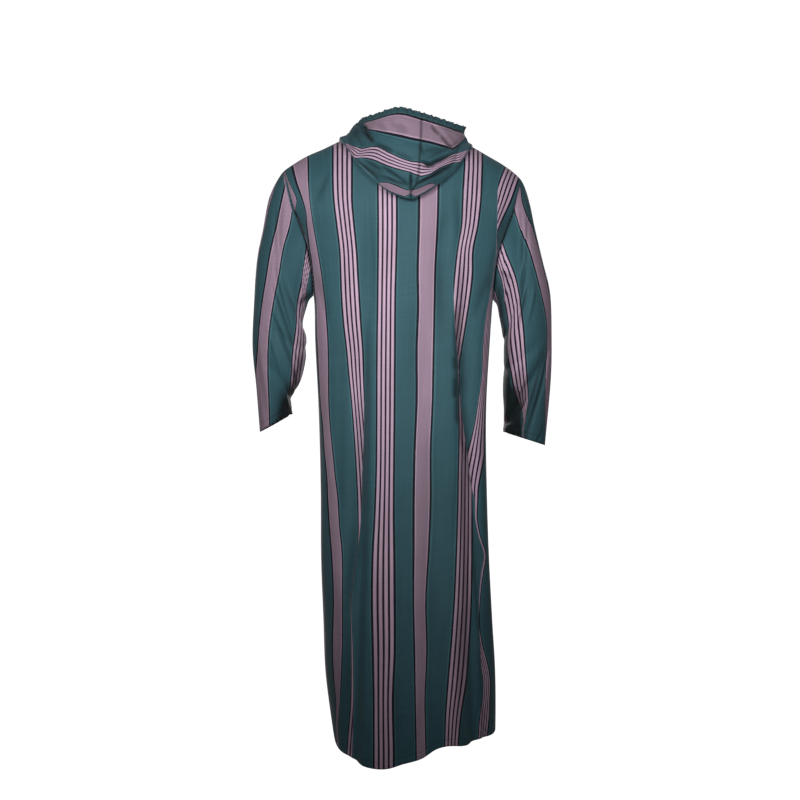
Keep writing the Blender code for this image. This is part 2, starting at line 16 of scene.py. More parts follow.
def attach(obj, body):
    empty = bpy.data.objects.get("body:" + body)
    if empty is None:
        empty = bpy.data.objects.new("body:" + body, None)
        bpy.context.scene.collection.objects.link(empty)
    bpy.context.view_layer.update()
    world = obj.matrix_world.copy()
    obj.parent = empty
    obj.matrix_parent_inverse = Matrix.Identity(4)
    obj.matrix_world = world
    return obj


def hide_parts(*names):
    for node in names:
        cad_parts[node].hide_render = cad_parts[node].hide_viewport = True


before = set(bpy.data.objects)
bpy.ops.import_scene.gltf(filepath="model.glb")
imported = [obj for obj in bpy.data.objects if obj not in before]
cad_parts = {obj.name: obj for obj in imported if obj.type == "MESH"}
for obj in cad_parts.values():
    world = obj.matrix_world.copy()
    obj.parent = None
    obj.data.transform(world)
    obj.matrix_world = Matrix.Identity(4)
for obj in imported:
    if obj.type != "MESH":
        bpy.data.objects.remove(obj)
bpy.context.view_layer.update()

bl_info = {
    "name": "Hooded striped robe",
    "version": (1, 0, 0),
    "blender": (4, 5, 0),
    "location": "View3D > Sidebar > Robe",
    "description": "Makes the cloth of a long hooded robe and the studio it is shown in",
    "category": "Object",
}


def table(columns, *rows):
    """Rows of numbers that are read by the names of their columns. Numbers left out are 0."""
    kinds = [(name, float) for name in columns]
    return np.array([(*row, *[0.0] * len(columns))[: len(columns)] for row in rows], dtype=kinds)


# How finely the cloth is made: columns and rows of each part of it, rows and columns of the
# edging for each column of the neck and each gather, and columns across a stripe and at a side
SHOULDER_COLUMNS = 30
NECK_COLUMNS = 108
ARMHOLE_ROWS = 60
SKIRT_ROWS = 196
SLEEVE_ROWS = 150
EDGING_STEPS = 3
STEPS_PER_GATHER = 12
COLUMNS_PER_STRIPE = 9
SIDE_COLUMNS = 12

# The trunk's sections are rounded oblongs: 2 is an ellipse, more is squarer. The shoulders
# round off to the back and to the front over this drop.
SQUARENESS = 2.3
SHOULDER_ROUNDING = {"back": 0.130, "front": 0.120}
FACING = {"back": 1.0, "front": -1.0}
SIDE = {"left": 1.0, "right": -1.0}

# Trunk by drop below the origin: reach to each side, depth to the back and to the front.
# Above the armpits the reach runs on into the arms, so that the armholes stand open.
TRUNK = table(
    ("drop", "left", "right", "back", "front"),
    (-0.050, 0.410, 0.410, 0.104, 0.096),
    (0.050, 0.345, 0.345, 0.108, 0.104),
    (0.090, 0.315, 0.315, 0.112, 0.114),
    (0.140, 0.284, 0.284, 0.117, 0.126),
    (0.190, 0.243, 0.243, 0.119, 0.133),
    (0.250, 0.220, 0.222, 0.120, 0.137),
    (0.300, 0.210, 0.211, 0.119, 0.138),
    (0.341, 0.205, 0.207, 0.118, 0.138),
    (0.437, 0.202, 0.200, 0.116, 0.136),
    (0.575, 0.195, 0.192, 0.117, 0.135),
    (0.782, 0.189, 0.193, 0.126, 0.138),
    (0.943, 0.188, 0.198, 0.133, 0.142),
    (1.079, 0.183, 0.205, 0.139, 0.146),
    (1.200, 0.178, 0.212, 0.144, 0.150),
    (1.290, 0.167, 0.213, 0.147, 0.152),
    (1.390, 0.152, 0.211, 0.149, 0.154),
)

# The line of the shoulders from the wearer's right to left; the right one hangs lower
SHOULDER_LINE = table(
    ("across", "height"),
    (-0.273, -0.070),
    (-0.257, -0.055),
    (-0.231, -0.036),
    (-0.193, -0.014),
    (-0.156, 0.007),
    (-0.118, 0.025),
    (0.000, 0.034),
    (0.118, 0.029),
    (0.143, 0.020),
    (0.182, 0.001),
    (0.225, -0.018),
    (0.258, -0.038),
    (0.276, -0.050),
)

# Armholes: the shoulder tip, the armpit's height, and how far the seam still lies out from
# the side seam's place on the way down to the armpit
SHOULDER_TIP = {"left": (0.276, -0.050), "right": (0.273, -0.070)}
ARMPIT = {"left": -0.336, "right": -0.346}
ARMHOLE_REACH = table(
    ("way_down", "share"),
    (0.00, 1.000),
    (0.14, 0.797),
    (0.30, 0.629),
    (0.46, 0.383),
    (0.60, 0.188),
    (0.77, 0.065),
    (1.00, 0.000),
)

# The neck: its share of the panel's half width, a shallow curve behind and a plain V in front
NECK_SHARE = 0.43
NECK_BACK_DEPTH = 0.082
NECK_V_DROP = 0.150

# Height of the hem round each panel, from the wearer's right side seam (-1) to the left one (1)
HEM = {
    "back": table(
        ("place", "height"),
        (-1.00, -1.329),
        (-0.69, -1.333),
        (-0.43, -1.340),
        (-0.25, -1.338),
        (-0.08, -1.366),
        (0.09, -1.384),
        (0.37, -1.381),
        (0.66, -1.364),
        (1.00, -1.341),
    ),
    "front": table(
        ("place", "height"),
        (-1.00, -1.329),
        (-0.50, -1.340),
        (0.00, -1.347),
        (0.50, -1.346),
        (1.00, -1.341),
    ),
}

# Long folds: where each starts and ends, its place across at the start, middle and end,
# how deep it is (below 0 is a trough), and its width towards the left and the right
FOLD_COLUMNS = ("top", "foot", "start", "middle", "end", "depth", "left", "right")
FOLDS = {
    "back": table(
        FOLD_COLUMNS,
        (-0.300, -1.45, 0.086, 0.096, 0.112, -0.017, 0.030, 0.013),
        (-0.300, -1.45, 0.064, 0.070, 0.084, 0.007, 0.016, 0.028),
        (-0.180, -1.45, -0.140, -0.152, -0.166, -0.019, 0.014, 0.024),
        (-0.230, -1.45, -0.100, -0.112, -0.118, 0.008, 0.030, 0.016),
        (-0.070, -0.36, 0.084, 0.079, 0.072, -0.005, 0.016, 0.016),
        (-0.090, -0.45, -0.083, -0.090, -0.102, -0.005, 0.015, 0.015),
        (-0.700, -1.45, -0.004, -0.006, -0.008, -0.007, 0.026, 0.026),
        (-0.950, -1.45, -0.060, -0.066, -0.074, -0.009, 0.022, 0.018),
        (-0.800, -1.45, 0.146, 0.142, 0.128, 0.009, 0.018, 0.022),
        (-0.090, -0.31, 0.222, 0.212, 0.205, 0.009, 0.012, 0.020),
        (-0.100, -0.31, -0.220, -0.212, -0.205, 0.009, 0.020, 0.012),
    ),
    "front": table(
        FOLD_COLUMNS,
        (-0.240, -1.45, 0.120, 0.126, 0.122, -0.014, 0.022, 0.022),
        (-0.200, -1.45, 0.066, 0.072, 0.076, 0.010, 0.026, 0.026),
        (-0.320, -1.45, 0.018, 0.022, 0.026, -0.012, 0.022, 0.022),
        (-0.260, -1.45, -0.036, -0.036, -0.034, 0.010, 0.026, 0.026),
        (-0.280, -1.45, -0.092, -0.094, -0.090, -0.013, 0.022, 0.022),
        (-0.220, -1.45, -0.136, -0.142, -0.146, 0.009, 0.022, 0.022),
    ),
}
# A long fold comes up over this drop, one that ends above SHORT_FOLD_FOOT fades at both ends,
# and all of them fade towards the side seams and over the first rows
FOLD_RISE = 0.28
SHORT_FOLD_FOOT = -1.0
FOLD_SIDE_FADE = 6
FOLD_TOP_FADE = 0.3
# The rough half width and half depth of the trunk, which folds stand out square to
TRUNK_HALVES = (0.2, 0.12)

# Sleeves from the armhole down to the cuff: the outer and the inner line of the arm,
# half the sleeve's depth, and how far forward its middle lies
SLEEVE_COLUMNS = ("way", "outer_x", "outer_z", "inner_x", "inner_z", "half_depth", "forward")
SLEEVE = {
    "left": table(
        SLEEVE_COLUMNS,
        (0.00, 0.276, -0.050, 0.207, -0.336, 0.062, 0.000),
        (0.06, 0.293, -0.078, 0.217, -0.345, 0.064, 0.000),
        (0.13, 0.307, -0.110, 0.224, -0.366, 0.066, 0.000),
        (0.25, 0.322, -0.184, 0.231, -0.398, 0.071, 0.002),
        (0.40, 0.336, -0.254, 0.223, -0.430, 0.073, 0.004),
        (0.55, 0.344, -0.352, 0.224, -0.477, 0.071, 0.008),
        (0.70, 0.348, -0.451, 0.235, -0.526, 0.067, 0.014),
        (0.85, 0.340, -0.543, 0.257, -0.571, 0.061, 0.024),
        (1.00, 0.333, -0.649, 0.258, -0.607, 0.055, 0.036),
    ),
    "right": table(
        SLEEVE_COLUMNS,
        (0.00, 0.273, -0.070, 0.205, -0.346, 0.062, 0.000),
        (0.06, 0.284, -0.098, 0.214, -0.356, 0.064, 0.000),
        (0.13, 0.293, -0.130, 0.219, -0.380, 0.066, 0.000),
        (0.25, 0.302, -0.172, 0.226, -0.410, 0.071, 0.002),
        (0.40, 0.322, -0.256, 0.232, -0.451, 0.073, 0.004),
        (0.55, 0.339, -0.329, 0.232, -0.504, 0.071, 0.008),
        (0.70, 0.343, -0.424, 0.231, -0.556, 0.067, 0.014),
        (0.85, 0.342, -0.530, 0.234, -0.602, 0.062, 0.022),
        (1.00, 0.330, -0.680, 0.232, -0.649, 0.057, 0.032),
    ),
}
# The share of the way down a sleeve over which it leaves the armhole's form, and the shares
# over which its creases come in below the armhole and go out above the cuff
ARMHOLE_EASE = 0.38
CREASES_IN = 0.15
CREASES_OUT = 0.08

# Creases round the sleeves: way down the sleeve, how far the crease slants, its depth,
# its width, and where round the arm it is deepest (0 outside, 90 behind, 180 inside)
CREASE_COLUMNS = ("way", "slant", "depth", "width", "middle")
CREASES = {
    "left": table(
        CREASE_COLUMNS,
        (0.30, 0.10, -0.006, 0.030, 160.0),
        (0.52, -0.12, -0.005, 0.030, 150.0),
        (0.80, 0.14, -0.005, 0.035, 140.0),
    ),
    "right": table(
        CREASE_COLUMNS,
        (0.34, 0.10, -0.006, 0.030, 150.0),
        (0.60, -0.14, -0.005, 0.032, 140.0),
        (0.84, 0.22, -0.008, 0.036, 110.0),
    ),
}

# The hood, lying down on the back, by the way round the neck: 0 behind, 0.5 at the side of
# the neck, 1 at the foot of the V. Each rib runs from the rim over the belly of the hood to
# the fold at its foot, which is rolled round this radius. x is to the wearer's left.
RIB_POINTS = ("rim", "brow", "high", "low", "foot")
RIB_COLUMNS = ("way", "roll") + tuple(point + "_" + axis for point in RIB_POINTS for axis in "xyz")
RIBS = {
    "left": table(
        RIB_COLUMNS,
        (0.00, 0.009)
        + (-0.040, 0.106, 0.066, -0.040, 0.136, 0.026, -0.037, 0.158, -0.032)
        + (-0.030, 0.160, -0.098, -0.018, 0.135, -0.135),
        (0.17, 0.009)
        + (0.010, 0.103, 0.078, 0.014, 0.130, 0.040, 0.024, 0.150, -0.020)
        + (0.034, 0.152, -0.076, 0.040, 0.130, -0.110),
        (0.33, 0.008)
        + (0.060, 0.082, 0.068, 0.066, 0.101, 0.042, 0.080, 0.114, 0.004)
        + (0.092, 0.118, -0.030, 0.098, 0.108, -0.052),
        (0.50, 0.006)
        + (0.098, 0.022, 0.064, 0.104, 0.020, 0.056, 0.116, 0.014, 0.048)
        + (0.130, 0.006, 0.040, 0.145, 0.000, 0.026),
        (0.60, 0.006)
        + (0.092, -0.030, 0.058, 0.101, -0.034, 0.052, 0.113, -0.040, 0.043)
        + (0.125, -0.046, 0.032, 0.134, -0.050, 0.020),
        (0.70, 0.006)
        + (0.080, -0.070, 0.034, 0.087, -0.077, 0.028, 0.097, -0.085, 0.016)
        + (0.106, -0.092, 0.000, 0.110, -0.090, -0.016),
        (0.85, 0.005)
        + (0.044, -0.116, -0.020, 0.050, -0.119, -0.028, 0.060, -0.121, -0.040)
        + (0.068, -0.120, -0.054, 0.074, -0.113, -0.068),
        (1.00, 0.005)
        + (0.008, -0.136, -0.090, 0.013, -0.139, -0.098, 0.020, -0.141, -0.109)
        + (0.026, -0.141, -0.122, 0.030, -0.134, -0.138),
    ),
    "right": table(
        RIB_COLUMNS,
        (0.00, 0.009)
        + (-0.040, 0.106, 0.066, -0.040, 0.136, 0.026, -0.037, 0.158, -0.032)
        + (-0.030, 0.160, -0.098, -0.018, 0.135, -0.135),
        (0.17, 0.009)
        + (-0.080, 0.093, 0.056, -0.081, 0.121, 0.018, -0.078, 0.143, -0.034)
        + (-0.074, 0.149, -0.078, -0.066, 0.130, -0.108),
        (0.33, 0.008)
        + (-0.122, 0.066, 0.047, -0.120, 0.086, 0.020, -0.119, 0.104, -0.010)
        + (-0.118, 0.112, -0.038, -0.116, 0.105, -0.062),
        (0.50, 0.006)
        + (-0.143, 0.022, 0.048, -0.140, 0.022, 0.041, -0.140, 0.018, 0.035)
        + (-0.147, 0.008, 0.028, -0.156, 0.000, 0.014),
        (0.60, 0.006)
        + (-0.122, -0.030, 0.057, -0.125, -0.034, 0.049, -0.130, -0.040, 0.041)
        + (-0.138, -0.046, 0.030, -0.144, -0.050, 0.012),
        (0.70, 0.006)
        + (-0.092, -0.070, 0.036, -0.098, -0.077, 0.029, -0.106, -0.086, 0.017)
        + (-0.113, -0.093, 0.001, -0.116, -0.090, -0.016),
        (0.85, 0.005)
        + (-0.048, -0.116, -0.024, -0.053, -0.119, -0.031, -0.061, -0.121, -0.042)
        + (-0.069, -0.120, -0.056, -0.075, -0.113, -0.070),
        (1.00, 0.005)
        + (-0.008, -0.136, -0.090, -0.013, -0.139, -0.098, -0.020, -0.141, -0.109)
        + (-0.026, -0.141, -0.122, -0.030, -0.134, -0.138),
    ),
}
# Rows of cloth from one mark of a rib to the next, and where the cloth that goes back up to
# the neck lies between its fold and its bend
RIB_STEPS = {"outer": 62, "foot": 6, "inner": 6, "bend": 22, "stand": 3, "seam": 2}
BETWEEN_SHARES = (0.25, 0.5, 0.75)
# The hood stands up from the neck seam, bends out and lies this clear of the trunk. Its two
# halves stay this far from the middle in front, where they come close to each other.
NECK_STAND = 0.008
NECK_STAND_OUT = 0.001
NECK_BEND = 0.008
NECK_MIDDLE_Y = -0.01
HOOD_CLEARANCE = 0.005
FRONT_PARTING = 0.005
FRONT_WAY = 0.8
# The edging: its width, where its rows lie across it, how much each row swells, and the
# strength, turns a gather and start of each wave of its uneven gathers
EDGING_WIDTH = 0.019
EDGING_ROWS = (0.02, 0.2, 0.4, 0.6, 0.8)
EDGING_SWELL = (1.0, 1.0, 0.8, 0.55, 0.3, 0.0)
GATHER_DEPTH = 0.0022
GATHER_WAVES = ((0.45, 1.0, 0.0), (0.5, 0.62, 0.7), (0.3, 1.73, 0.0))
GATHER_HEIGHT = 1.1
# How dark the painted shade in the hollows of the gathers is
GATHER_SHADE = 0.8

# The camera's view, which the stripes are placed by: 800 pixels wide, looking along -Y
VIEW_PIXELS = 800
VIEW_X = 0.0069
VIEW_Z = -0.575
VIEW_DISTANCE = 3.2
METRES_PER_PIXEL = 0.0023

# Where the two edges of each stripe lie across the back, in pixels, by the pixel row they
# cross. w is a wide stripe and g a group of four. Where a fold hides part of a stripe, the
# last two columns give the share that is out of sight at its first and its second edge.
STRIPE_COLUMNS = ("row", "a", "b", "hidden_a", "hidden_b")
BACK_STRIPES = {
    "g0": table(
        STRIPE_COLUMNS,
        (165, 276.0, 283.0), (175, 279.5, 286.5), (182, 282.0, 289.0), (190, 285.0, 292.8),
        (198, 287.5, 296.3), (204, 289.0, 296.6), (209, 290.3, 293.0), (214, 290.0, 291.5),
        (222, 284.0, 288.0), (300, 280.0, 290.0), (750, 280.0, 290.0),
    ),
    "w1": table(
        STRIPE_COLUMNS,
        (165, 290.5, 309.0), (180, 294.5, 309.0), (200, 302.0, 310.0), (212, 305.5, 311.5),
        (225, 306.5, 313.5), (250, 309.0, 318.0), (275, 311.0, 322.0), (300, 313.5, 325.3),
        (325, 315.0, 327.5), (350, 316.5, 328.8), (372, 317.5, 329.0), (400, 319.5, 329.2),
        (425, 322.0, 330.5), (450, 323.5, 333.0), (475, 326.0, 335.5), (500, 327.0, 338.5),
        (525, 328.5, 340.0), (550, 330.5, 342.5), (600, 332.8, 342.8), (650, 331.7, 342.8),
        (675, 333.0, 341.8), (700, 335.6, 340.2), (730, 335.8, 338.2), (750, 337.0, 339.5),
    ),
    "g1": table(
        STRIPE_COLUMNS,
        (165, 331.5, 352.5), (180, 331.5, 352.5), (200, 332.5, 352.5), (225, 335.5, 354.5),
        (250, 338.5, 357.0), (275, 339.5, 358.5), (300, 340.5, 360.0), (325, 342.5, 361.5),
        (350, 345.5, 363.3), (372, 347.5, 364.0), (400, 350.5, 364.3, 0.0, 0.05),
        (425, 352.5, 364.0, 0.0, 0.22), (450, 354.2, 363.3, 0.0, 0.40), (475, 355.6, 362.2, 0.0, 0.58),
        (500, 356.8, 361.8, 0.0, 0.68), (525, 357.4, 360.4, 0.0, 0.78), (548, 357.2, 358.0, 0.0, 0.90),
        (600, 350.8, 351.3, 0.0, 0.90), (620, 350.6, 351.5, 0.0, 0.85), (650, 350.7, 352.7, 0.0, 0.76),
        (700, 350.0, 353.3, 0.0, 0.74), (740, 346.8, 352.5, 0.0, 0.62), (760, 345.5, 352.0, 0.0, 0.55),
    ),
    "g2": table(
        STRIPE_COLUMNS,
        (165, 376.5, 397.0), (225, 377.0, 397.5), (300, 376.5, 395.8), (350, 375.8, 395.5),
        (425, 375.5, 395.0), (475, 375.0, 394.5), (525, 373.0, 394.5), (550, 371.5, 395.0),
        (600, 370.5, 395.5), (650, 371.5, 395.5), (700, 372.5, 393.5), (750, 372.5, 394.5),
    ),
    "w2": table(
        STRIPE_COLUMNS,
        (165, 418.0, 440.0), (225, 417.5, 438.5), (275, 416.5, 436.0), (300, 417.0, 435.5),
        (350, 415.5, 434.5), (400, 415.5, 433.5), (450, 413.5, 431.5), (500, 412.5, 431.5),
        (550, 412.5, 429.5), (600, 412.5, 426.5), (650, 413.5, 427.5), (700, 414.5, 425.5),
        (750, 415.5, 426.5),
    ),
    "g3": table(
        STRIPE_COLUMNS,
        (165, 463.5, 483.0), (180, 462.5, 482.5), (200, 461.5, 481.5), (225, 460.5, 478.5),
        (250, 456.5, 473.5), (275, 453.5, 473.0), (300, 453.8, 470.0, 0.12, 0.0),
        (325, 455.0, 466.0, 0.32, 0.0), (350, 456.9, 461.9, 0.64, 0.0), (368, 458.2, 459.4, 0.88, 0.0),
        (376, 458.4, 458.9, 0.70, 0.25), (385, 458.4, 459.1, 0.0, 0.85), (400, 458.3, 460.1, 0.0, 0.78),
        (425, 458.2, 463.2, 0.0, 0.64), (450, 457.9, 466.4, 0.0, 0.44), (475, 457.4, 468.9, 0.0, 0.24),
        (492, 457.1, 471.6, 0.0, 0.06), (510, 456.7, 472.5), (560, 455.0, 472.5), (600, 453.1, 471.9),
        (640, 450.3, 470.0), (680, 446.9, 466.9), (720, 444.4, 460.8), (745, 443.8, 458.6),
    ),
    "g4": table(
        STRIPE_COLUMNS,
        (165, 505.0, 526.0), (180, 499.0, 519.0), (190, 497.8, 515.5, 0.10, 0.0),
        (200, 497.6, 512.0, 0.22, 0.0), (212, 497.5, 506.5, 0.46, 0.0), (222, 497.4, 501.8, 0.72, 0.0),
        (230, 497.2, 498.4, 0.92, 0.0), (240, 496.9, 497.6, 0.90, 0.0), (255, 496.0, 498.0, 0.40, 0.0),
        (275, 493.0, 500.0), (300, 488.6, 495.0), (325, 484.5, 492.4), (350, 482.5, 489.8),
        (375, 481.6, 489.0), (400, 478.0, 487.2), (420, 474.8, 486.6), (440, 470.2, 485.8),
        (450, 467.9, 485.6, 0.03, 0.0), (462, 468.0, 483.8, 0.18, 0.0), (475, 469.6, 481.3, 0.38, 0.0),
        (487, 471.8, 479.0, 0.56, 0.0), (500, 474.6, 478.2, 0.74, 0.0), (520, 475.6, 477.6, 0.80, 0.0),
        (535, 478.6, 480.2, 0.80, 0.0), (555, 483.6, 486.2, 0.74, 0.0), (572, 481.3, 483.8, 0.74, 0.0),
        (590, 479.7, 481.2, 0.80, 0.0), (645, 480.2, 482.6, 0.70, 0.0), (660, 480.8, 486.9, 0.25, 0.0),
        (680, 482.5, 490.4), (700, 481.9, 490.0), (720, 478.9, 489.2), (740, 477.5, 487.0),
    ),
}

# The edges of the wide stripe and of the group on the side of each sleeve that the camera
# sees, from its outer line inwards
SLEEVE_MARK_COLUMNS = ("row", "w_a", "w_b", "g_a", "g_b")
SLEEVE_MARKS = {
    "left": table(
        SLEEVE_MARK_COLUMNS,
        (185, 284.0, 285.5, 305.0, 320.0),
        (200, 280.5, 292.0, 306.0, 320.0),
        (225, 275.5, 290.5, 307.5, 320.0),
        (250, 269.5, 283.5, 305.0, 317.0),
        (275, 265.5, 279.5, 302.0, 313.0),
        (300, 261.5, 274.5, 297.0, 308.5),
        (325, 258.5, 270.5, 295.5, 306.0),
        (350, 256.5, 268.5, 292.0, 306.5),
        (375, 254.7, 268.5, 290.5, 303.0),
        (400, 256.0, 269.5, 288.0, 298.0),
        (430, 256.0, 270.5, 286.0, 294.0),
    ),
    "right": table(
        SLEEVE_MARK_COLUMNS,
        (185, 521.0, 519.0, 500.0, 486.0),
        (200, 522.5, 513.5, 499.0, 486.0),
        (225, 531.5, 518.5, 499.5, 487.0),
        (250, 540.0, 528.5, 506.0, 493.0),
        (275, 545.5, 536.0, 516.0, 500.5),
        (300, 550.5, 542.5, 521.0, 504.0),
        (325, 552.3, 546.7, 524.3, 508.0),
        (350, 553.5, 546.5, 526.0, 506.3),
        (375, 552.5, 545.0, 527.6, 511.0),
        (400, 550.5, 545.0, 528.6, 517.0),
        (412, 550.0, 545.0, 526.5, 522.6),
        (430, 549.0, 545.0, 523.2, 523.0),
    ),
}

# Creases, listed one by one. Each is a soft trough (depth below 0) or ridge from one place to another, wider
# on one side than on the other. On the panels "across" is x and "along" is z, and on a sleeve they are
# metres round it and metres down it.
CREASE_LINE_COLUMNS = ("from_across", "from_along", "to_across", "to_along", "depth", "width_a", "width_b")
CREASE_LINES = {
    "back": table(
        CREASE_LINE_COLUMNS,
        (-0.120, -0.36, -0.130, -0.60, -0.0062, 0.022, 0.005),
        (-0.122, -0.52, -0.158, -0.82, -0.0070, 0.014, 0.005),
        (-0.152, -0.76, -0.176, -1.12, -0.0050, 0.014, 0.006),
        (-0.176, -1.05, -0.184, -1.40, -0.0050, 0.014, 0.006),
        (0.088, -0.56, 0.098, -0.88, -0.0045, 0.006, 0.014),
        (0.098, -0.84, 0.118, -1.06, -0.0050, 0.006, 0.014),
        (0.118, -1.02, 0.122, -1.40, -0.0045, 0.006, 0.014),
        (0.168, -0.070, 0.200, -0.135, -0.0035, 0.006, 0.009),
        (0.150, -0.040, 0.186, -0.175, 0.0020, 0.012, 0.012),
        (-0.186, -0.048, -0.178, -0.120, -0.0028, 0.006, 0.006),
        (-0.100, -0.150, -0.084, -0.235, -0.0030, 0.007, 0.011),
        (-0.122, -0.100, -0.128, -0.215, -0.0028, 0.006, 0.010),
        (-0.148, -0.115, -0.112, -0.300, -0.0020, 0.009, 0.012),
        (-0.082, -0.200, -0.090, -0.460, -0.0032, 0.014, 0.018),
        (0.078, -0.130, 0.070, -0.420, -0.0032, 0.012, 0.016),
        (0.112, -0.200, 0.104, -0.520, 0.0024, 0.016, 0.016),
        (0.138, -0.420, 0.142, -0.900, -0.0022, 0.014, 0.012),
        (0.034, -0.300, 0.026, -0.900, 0.0018, 0.020, 0.020),
        (-0.030, -0.260, -0.028, -0.700, -0.0014, 0.020, 0.020),
        (-0.062, -0.560, -0.050, -1.240, -0.0030, 0.014, 0.020),
        (0.060, -0.900, 0.056, -1.380, -0.0026, 0.014, 0.014),
        (0.150, -0.960, 0.140, -1.360, -0.0030, 0.010, 0.012),
        (-0.100, -0.960, -0.108, -1.330, 0.0026, 0.016, 0.014),
        (-0.136, -1.020, -0.128, -1.330, -0.0028, 0.012, 0.010),
        (0.022, -1.180, 0.004, -1.372, -0.0020, 0.009, 0.011),
        (-0.040, -1.230, -0.026, -1.366, -0.0022, 0.008, 0.010),
        (0.092, -1.270, 0.074, -1.376, -0.0020, 0.008, 0.008),
        (0.000, -0.160, 0.052, -0.330, -0.0016, 0.014, 0.010),
        (-0.196, -0.300, -0.160, -0.400, -0.0024, 0.008, 0.012),
        (0.200, -0.290, 0.168, -0.410, -0.0022, 0.010, 0.008),
    ),
    "front": table(
        CREASE_LINE_COLUMNS,
        (0.060, -0.180, 0.040, -0.520, -0.0030, 0.012, 0.016),
        (-0.064, -0.170, -0.048, -0.480, -0.0028, 0.014, 0.012),
        (0.012, -0.200, 0.008, -0.420, -0.0020, 0.010, 0.010),
        (0.196, -0.290, 0.130, -0.430, -0.0030, 0.010, 0.012),
        (-0.196, -0.300, -0.128, -0.450, -0.0032, 0.012, 0.010),
        (0.140, -0.080, 0.104, -0.240, -0.0028, 0.008, 0.012),
        (-0.136, -0.080, -0.104, -0.260, -0.0030, 0.012, 0.008),
        (0.096, -0.560, 0.102, -1.200, 0.0024, 0.014, 0.016),
        (-0.066, -0.500, -0.062, -1.100, -0.0026, 0.012, 0.014),
        (-0.010, -0.620, -0.006, -1.340, 0.0022, 0.014, 0.012),
        (0.044, -0.900, 0.050, -1.345, -0.0028, 0.010, 0.014),
        (0.150, -0.700, 0.146, -1.340, -0.0028, 0.012, 0.012),
        (-0.118, -0.860, -0.116, -1.335, 0.0026, 0.014, 0.012),
        (-0.170, -0.640, -0.172, -1.320, -0.0026, 0.010, 0.014),
    ),
    "left": table(
        CREASE_LINE_COLUMNS,
        (0.090, 0.020, 0.150, 0.085, -0.0028, 0.008, 0.012),
        (0.070, 0.050, 0.140, 0.130, -0.0022, 0.010, 0.012),
        (0.120, 0.120, 0.195, 0.168, -0.0040, 0.006, 0.010),
        (0.110, 0.175, 0.200, 0.190, -0.0045, 0.006, 0.008),
        (0.100, 0.235, 0.195, 0.215, -0.0040, 0.006, 0.010),
        (0.085, 0.275, 0.170, 0.310, 0.0026, 0.012, 0.012),
        (0.110, 0.350, 0.195, 0.310, -0.0034, 0.008, 0.010),
        (0.090, 0.440, 0.185, 0.400, -0.0030, 0.007, 0.010),
        (0.080, 0.500, 0.165, 0.470, -0.0026, 0.007, 0.009),
        (0.125, 0.450, 0.105, 0.570, -0.0060, 0.012, 0.020),
        (0.040, 0.300, 0.060, 0.520, -0.0018, 0.014, 0.014),
        (0.060, 0.530, 0.120, 0.560, -0.0020, 0.006, 0.008),
        (-0.100, 0.130, -0.190, 0.180, -0.0036, 0.008, 0.010),
        (-0.080, 0.200, -0.190, 0.235, -0.0034, 0.008, 0.010),
        (-0.100, 0.330, -0.180, 0.290, -0.0030, 0.008, 0.010),
        (-0.070, 0.430, -0.160, 0.410, -0.0026, 0.008, 0.010),
        (-0.040, 0.260, -0.060, 0.480, -0.0020, 0.014, 0.012),
    ),
    "right": table(
        CREASE_LINE_COLUMNS,
        (0.085, 0.020, 0.150, 0.090, -0.0028, 0.008, 0.012),
        (0.060, 0.060, 0.130, 0.120, -0.0020, 0.010, 0.012),
        (0.120, 0.105, 0.195, 0.130, -0.0044, 0.006, 0.010),
        (0.125, 0.150, 0.200, 0.150, -0.0040, 0.006, 0.009),
        (0.095, 0.170, 0.150, 0.200, 0.0024, 0.010, 0.012),
        (0.190, 0.230, 0.110, 0.360, -0.0046, 0.006, 0.012),
        (0.190, 0.290, 0.100, 0.430, -0.0046, 0.006, 0.012),
        (0.180, 0.360, 0.085, 0.490, -0.0040, 0.006, 0.010),
        (0.095, 0.500, 0.040, 0.370, -0.0040, 0.006, 0.014),
        (0.180, 0.470, 0.080, 0.540, -0.0034, 0.006, 0.010),
        (0.135, 0.310, 0.112, 0.570, -0.0070, 0.014, 0.024),
        (0.030, 0.560, 0.110, 0.520, -0.0022, 0.006, 0.008),
        (-0.100, 0.140, -0.190, 0.180, -0.0036, 0.008, 0.010),
        (-0.090, 0.230, -0.190, 0.250, -0.0034, 0.008, 0.010),
        (-0.090, 0.370, -0.180, 0.310, -0.0032, 0.008, 0.010),
        (-0.060, 0.460, -0.170, 0.430, -0.0028, 0.008, 0.010),
        (-0.030, 0.280, -0.050, 0.500, -0.0020, 0.014, 0.012),
    ),
}

# Painted shade on the sleeves where their deepest folds let in no light: places in pixels of the view, and
# how dark the painted shade is
SLEEVE_SHADE = {
    "left": table(
        CREASE_LINE_COLUMNS,
        (304, 216, 311, 268, 1.00, 2.2, 2.2),
        (297, 305, 313, 291, 1.10, 3.0, 2.6),
        (304, 346, 291, 396, 0.80, 3.4, 2.6),
        (293, 380, 279, 440, 1.50, 9.0, 9.0),
    ),
    "right": table(
        CREASE_LINE_COLUMNS,
        (496, 276, 505, 345, 1.10, 3.2, 3.2),
        (504, 318, 510, 470, 1.70, 5.0, 6.0),
        (512, 385, 518, 460, 1.30, 6.0, 5.0),
        (498, 271, 513, 279, 0.80, 1.6, 1.6),
        (545, 350, 523, 430, 0.80, 1.5, 2.2),
    ),
}

